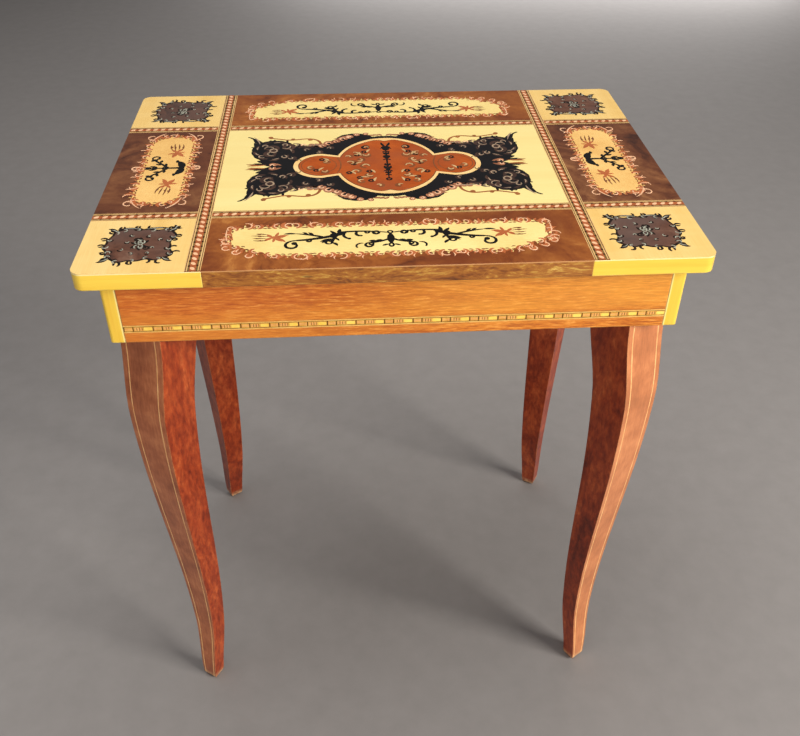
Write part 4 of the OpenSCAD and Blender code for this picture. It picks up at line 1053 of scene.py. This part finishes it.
ORNAMENT = inlay("inlay_ornament", (3, 3, 6), (20, 16, 20), mottle=70)
WING_BROWN = inlay("inlay_wing_brown", (38, 26, 26), (86, 60, 48))
WING_PALE = inlay("inlay_wing_pale", (112, 92, 78), (196, 168, 140), mottle=180)
SHELL = inlay("inlay_shell", (138, 84, 58), (188, 128, 94))
TENDRIL = inlay("inlay_tendril", (132, 74, 34), (176, 110, 60))
RIM = inlay("inlay_rim", (244, 196, 124), (254, 222, 158))
ORANGE = inlay("inlay_orange", (156, 64, 14), (194, 92, 26), mottle=46, shade=(158, 78, 40))
MARK = inlay("inlay_mark", (108, 56, 26), (150, 88, 48))
MARK_PALE = inlay("inlay_mark_pale", (176, 138, 92), (226, 190, 138))
cut_all("ornament", [on_lid()], body=(body_d, ORNAMENT, 1), wing_scrolls=(wing_marks, WING_BROWN, 2),
    wing_lights=(wing_lights, WING_PALE, 3), shells=(shell, SHELL, 2), shell_lights=(shell_light, PINK, 3),
    tendrils=(tendril, TENDRIL, 2))
cut_all("trefoil", [on_lid()], rim=(trefoil_rim, RIM, 3), shadow=(shadow_d, BROWN, 4),
    field=(trefoil, ORANGE, 5), lobe_lines=(lobes, MARK, 6), scrolls=(marks, MARK, 6),
    dark_scrolls=(marks_dark, DARK, 6), lights=(marks_light, MARK_PALE, 7), spine=(spine, BLACK, 8))

# --- inlaid bandings

LINE_PALE = inlay("banding_pale", (206, 160, 96), (240, 200, 140))
LINE_DARK = inlay("banding_dark", (66, 36, 16), (104, 62, 30))
BAND_BASE = inlay("banding_terracotta", (150, 78, 42), (192, 108, 62), mottle=300)
BEAD = inlay("banding_bead", (238, 176, 134), (254, 214, 172), mottle=300)
DOT = inlay("banding_dot", (40, 14, 6), (78, 32, 12))
OLIVE = inlay("banding_olive", (92, 74, 36), (140, 112, 62))
BEAD_PITCH = 5.9


def banding(length):
    """A rope-like chain of beads between fine lines. It runs along x, centred, 10 mm wide."""
    half = length / 2
    parts = {key: Drawing() for key in BANDING_MATS}
    parts["base"].fill(flat_box(-half, -2.05, half, 2.05))
    for s in (-1, 1):
        for key, near, far in (("pale", 3.15, 3.95), ("dark", 3.95, 4.45), ("pale", 4.45, 5.0),
                ("olive", 2.05, 3.15)):
            y0, y1 = sorted((s * near, s * far))
            parts[key].fill(flat_box(-half, y0, half, y1))
    n = round(length / BEAD_PITCH)
    for i in range(n):
        x = -half + (i + 0.5) * length / n
        parts["bead"].fill(round_shape((x - 0.2, 0.2), 2.0, 1.25, 38, 14))
        for shift, y in ((-0.1, 2.55), (0.3, -2.55)):
            parts["dot"].fill(round_shape((x + BEAD_PITCH / 2 + shift, y), 1.05, 0.75, 0, 10) if i < n - 1
                else round_shape((x, y), 0.3, 0.2, 0, 8))
    return parts


# each wood of a banding, and the layer it lies in
BANDING_MATS = {"base": (BAND_BASE, 1), "pale": (LINE_PALE, 1), "dark": (LINE_DARK, 1), "bead": (BEAD, 2),
    "dot": (DOT, 2), "olive": (OLIVE, 1)}
cross_high, long_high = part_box("bandings_cross")[1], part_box("bandings_long")[1]
BAND_HALF = 5.0
cross_x = cross_high.x / MM - BAND_HALF
long_y = long_high.y / MM - BAND_HALF


def up_lid(cx):
    """Places a banding on the lid, turned to run along y at cx millimetres."""
    return lambda p, w: Vector(((cx - p.y) * MM, p.x * MM, TOP_Z + w))


def add_banding(prefix, runs):
    """runs: (length, place) pairs. Those of one length share one piece for each kind of wood."""
    groups = {}
    for length, place in runs:
        groups.setdefault(round(length, 3), []).append(place)
    for key, (mat, layer) in BANDING_MATS.items():
        for k, (length, places) in enumerate(groups.items()):
            cut(f"{prefix}_{key}" + (f"_{k}" if k else ""), banding(length)[key], mat, layer, places)


end_run = long_high.x / MM - cross_x - BAND_HALF
inner_runs = [(2 * (cross_x - BAND_HALF), on_lid(0, s * long_y)) for s in (-1, 1)]
outer_runs = [(end_run, on_lid(t * (cross_x + BAND_HALF + end_run / 2), s * long_y))
    for s in (-1, 1) for t in (-1, 1)]
add_banding("banding_cross", [(2 * cross_high.y / MM, up_lid(s * cross_x)) for s in (-1, 1)])
add_banding("banding_long", inner_runs + outer_runs)

# --- banding round the case

GOLD = inlay("case_band_gold", (222, 168, 84), (246, 204, 120), mottle=200)
DASH = inlay("case_band_dash", (242, 196, 76), (255, 226, 112), mottle=200)
TAN = inlay("case_band_tan", (204, 142, 56), (236, 182, 92), mottle=300)
BAR = inlay("case_band_bar", (84, 52, 10), (128, 86, 26), mottle=300)
BONE = inlay("case_band_bone", (220, 150, 84), (244, 184, 112), mottle=300)
PATTERN_PITCH = 18.7
BAND_MATS = {"gold": (GOLD, 1), "bar": (BAR, 1), "dash": (DASH, 2), "bone": (BONE, 2)}


def case_band(length):
    """Dashes, bars and small beads between fine lines. It runs along x, centred on the strip."""
    half = length / 2
    parts = {key: Drawing() for key in BAND_MATS}

    def bar(key, x0, x1, y0, y1):
        parts[key].fill(flat_box(x0, y0, x1, y1))

    for s in (-1, 1):
        bar("gold", -half, half, *sorted((s * 2.0, s * 2.75)))
        bar("bar", -half, half, *sorted((s * 1.6, s * 2.0)))
    count = round(length / PATTERN_PITCH)
    step = length / count
    third = step / 3
    for i in range(count):
        x = -half + i * step
        for at in (x + 0.4, x + third):
            bar("bar", at - 0.4, at + 0.4, -1.6, 1.6)
        bar("bone", x + 1.7, x + third - 1.2, -0.35, 0.35)
        for at in (x + 1.7, x + third - 1.2):
            parts["bone"].fill(round_shape((at, 0), 0.65, 0.8, 0, 10))
        for k in range(3):
            at = x + third + 1.3 + k * 1.7
            parts["bone"].fill(round_shape((at + 0.2, 0), 0.62, 1.15, 0, 10))
            bar("bar", at + 0.95, at + 1.25, -1.1, 1.1)
        parts["dash"].fill([vec(x + 2 * third + 0.6 + dx, dy)
            for dx, dy in ((0, -0.7), (0.5, -1.15), (third - 1.5, -1.15), (third - 0.9, -0.7),
            (third - 0.9, 0.7), (third - 1.5, 1.15), (0.5, 1.15), (0, 0.7))])
    return parts


band_z = (band_low.z + band_high.z) / 2
band_runs = [
    ("front", 2 * POST_IN.x / MM, [lambda p, w: Vector((p.x * MM, band_low.y - w, band_z + p.y * MM))]),
    ("ends", 2 * POST_IN.y / MM, [lambda p, w: Vector((band_low.x - w, -p.x * MM, band_z + p.y * MM)),
                                  lambda p, w: Vector((band_high.x + w, p.x * MM, band_z + p.y * MM))])]
for where, length, places in band_runs:
    for key, drawing in case_band(length).items():
        cut(f"case_band_{where}_{key}", drawing, *BAND_MATS[key], places, "table")

# --- stringing on the legs

STRING = inlay("leg_stringing", (222, 150, 90), (250, 204, 144), "z", mottle=120)


def leg_levels(name, out, across):
    """The two edges of a leg's outer face, read level by level from the leg's own mesh."""
    rows = {}
    for v in nodes[name].data.vertices:
        rows.setdefault(round(v.co.z / MM, 1), []).append(v.co)
    levels = []
    for z in sorted(rows):
        far = max(p.dot(out) for p in rows[z])
        rim = [p for p in rows[z] if far - p.dot(out) < 0.0002]
        lo, hi = min(rim, key=lambda p: p.dot(across)), max(rim, key=lambda p: p.dot(across))
        if len(rows[z]) >= 4 and (hi - lo).length > 0.006:
            levels.append((lo, hi))
    return levels


def ribbon(name, mat, share, width, proud):
    """A fine line let into every leg's outer face, at a share of the face's width from each edge."""
    verts, faces = [], []
    for leg, sx, sy in LEGS:
        out = leg_out(sx, sy)
        across = Vector((sx * math.cos(LEG_TURN), -sy * math.sin(LEG_TURN), 0))
        levels = leg_levels(leg, out, across)[1:]
        for part in (share, 1 - share):
            base = len(verts)
            for lo, hi in levels:
                mid = lo.lerp(hi, part)
                for side, depth in ((-1, proud), (1, proud), (1, -SINK), (-1, -SINK)):
                    verts.append(mid + across * (side * width / 2) + out * depth)
            last = len(levels) - 1
            for i in range(last):
                for k in range(4):
                    j = (k + 1) % 4
                    q = base + 4 * i
                    faces.append((q + k, q + j, q + 4 + j, q + 4 + k))
            faces.append((base, base + 3, base + 2, base + 1))
            q = base + 4 * last
            faces.append((q, q + 1, q + 2, q + 3))
    add_piece(name, verts, faces, mat, "table")


ribbon("leg_stringing", STRING, share=0.14, width=0.9 * MM, proud=0.05 * MM)

for name, mat in (("bandings_cross", BAND_BASE), ("bandings_long", BAND_BASE), ("case_banding", TAN)):
    dress(name, mat)
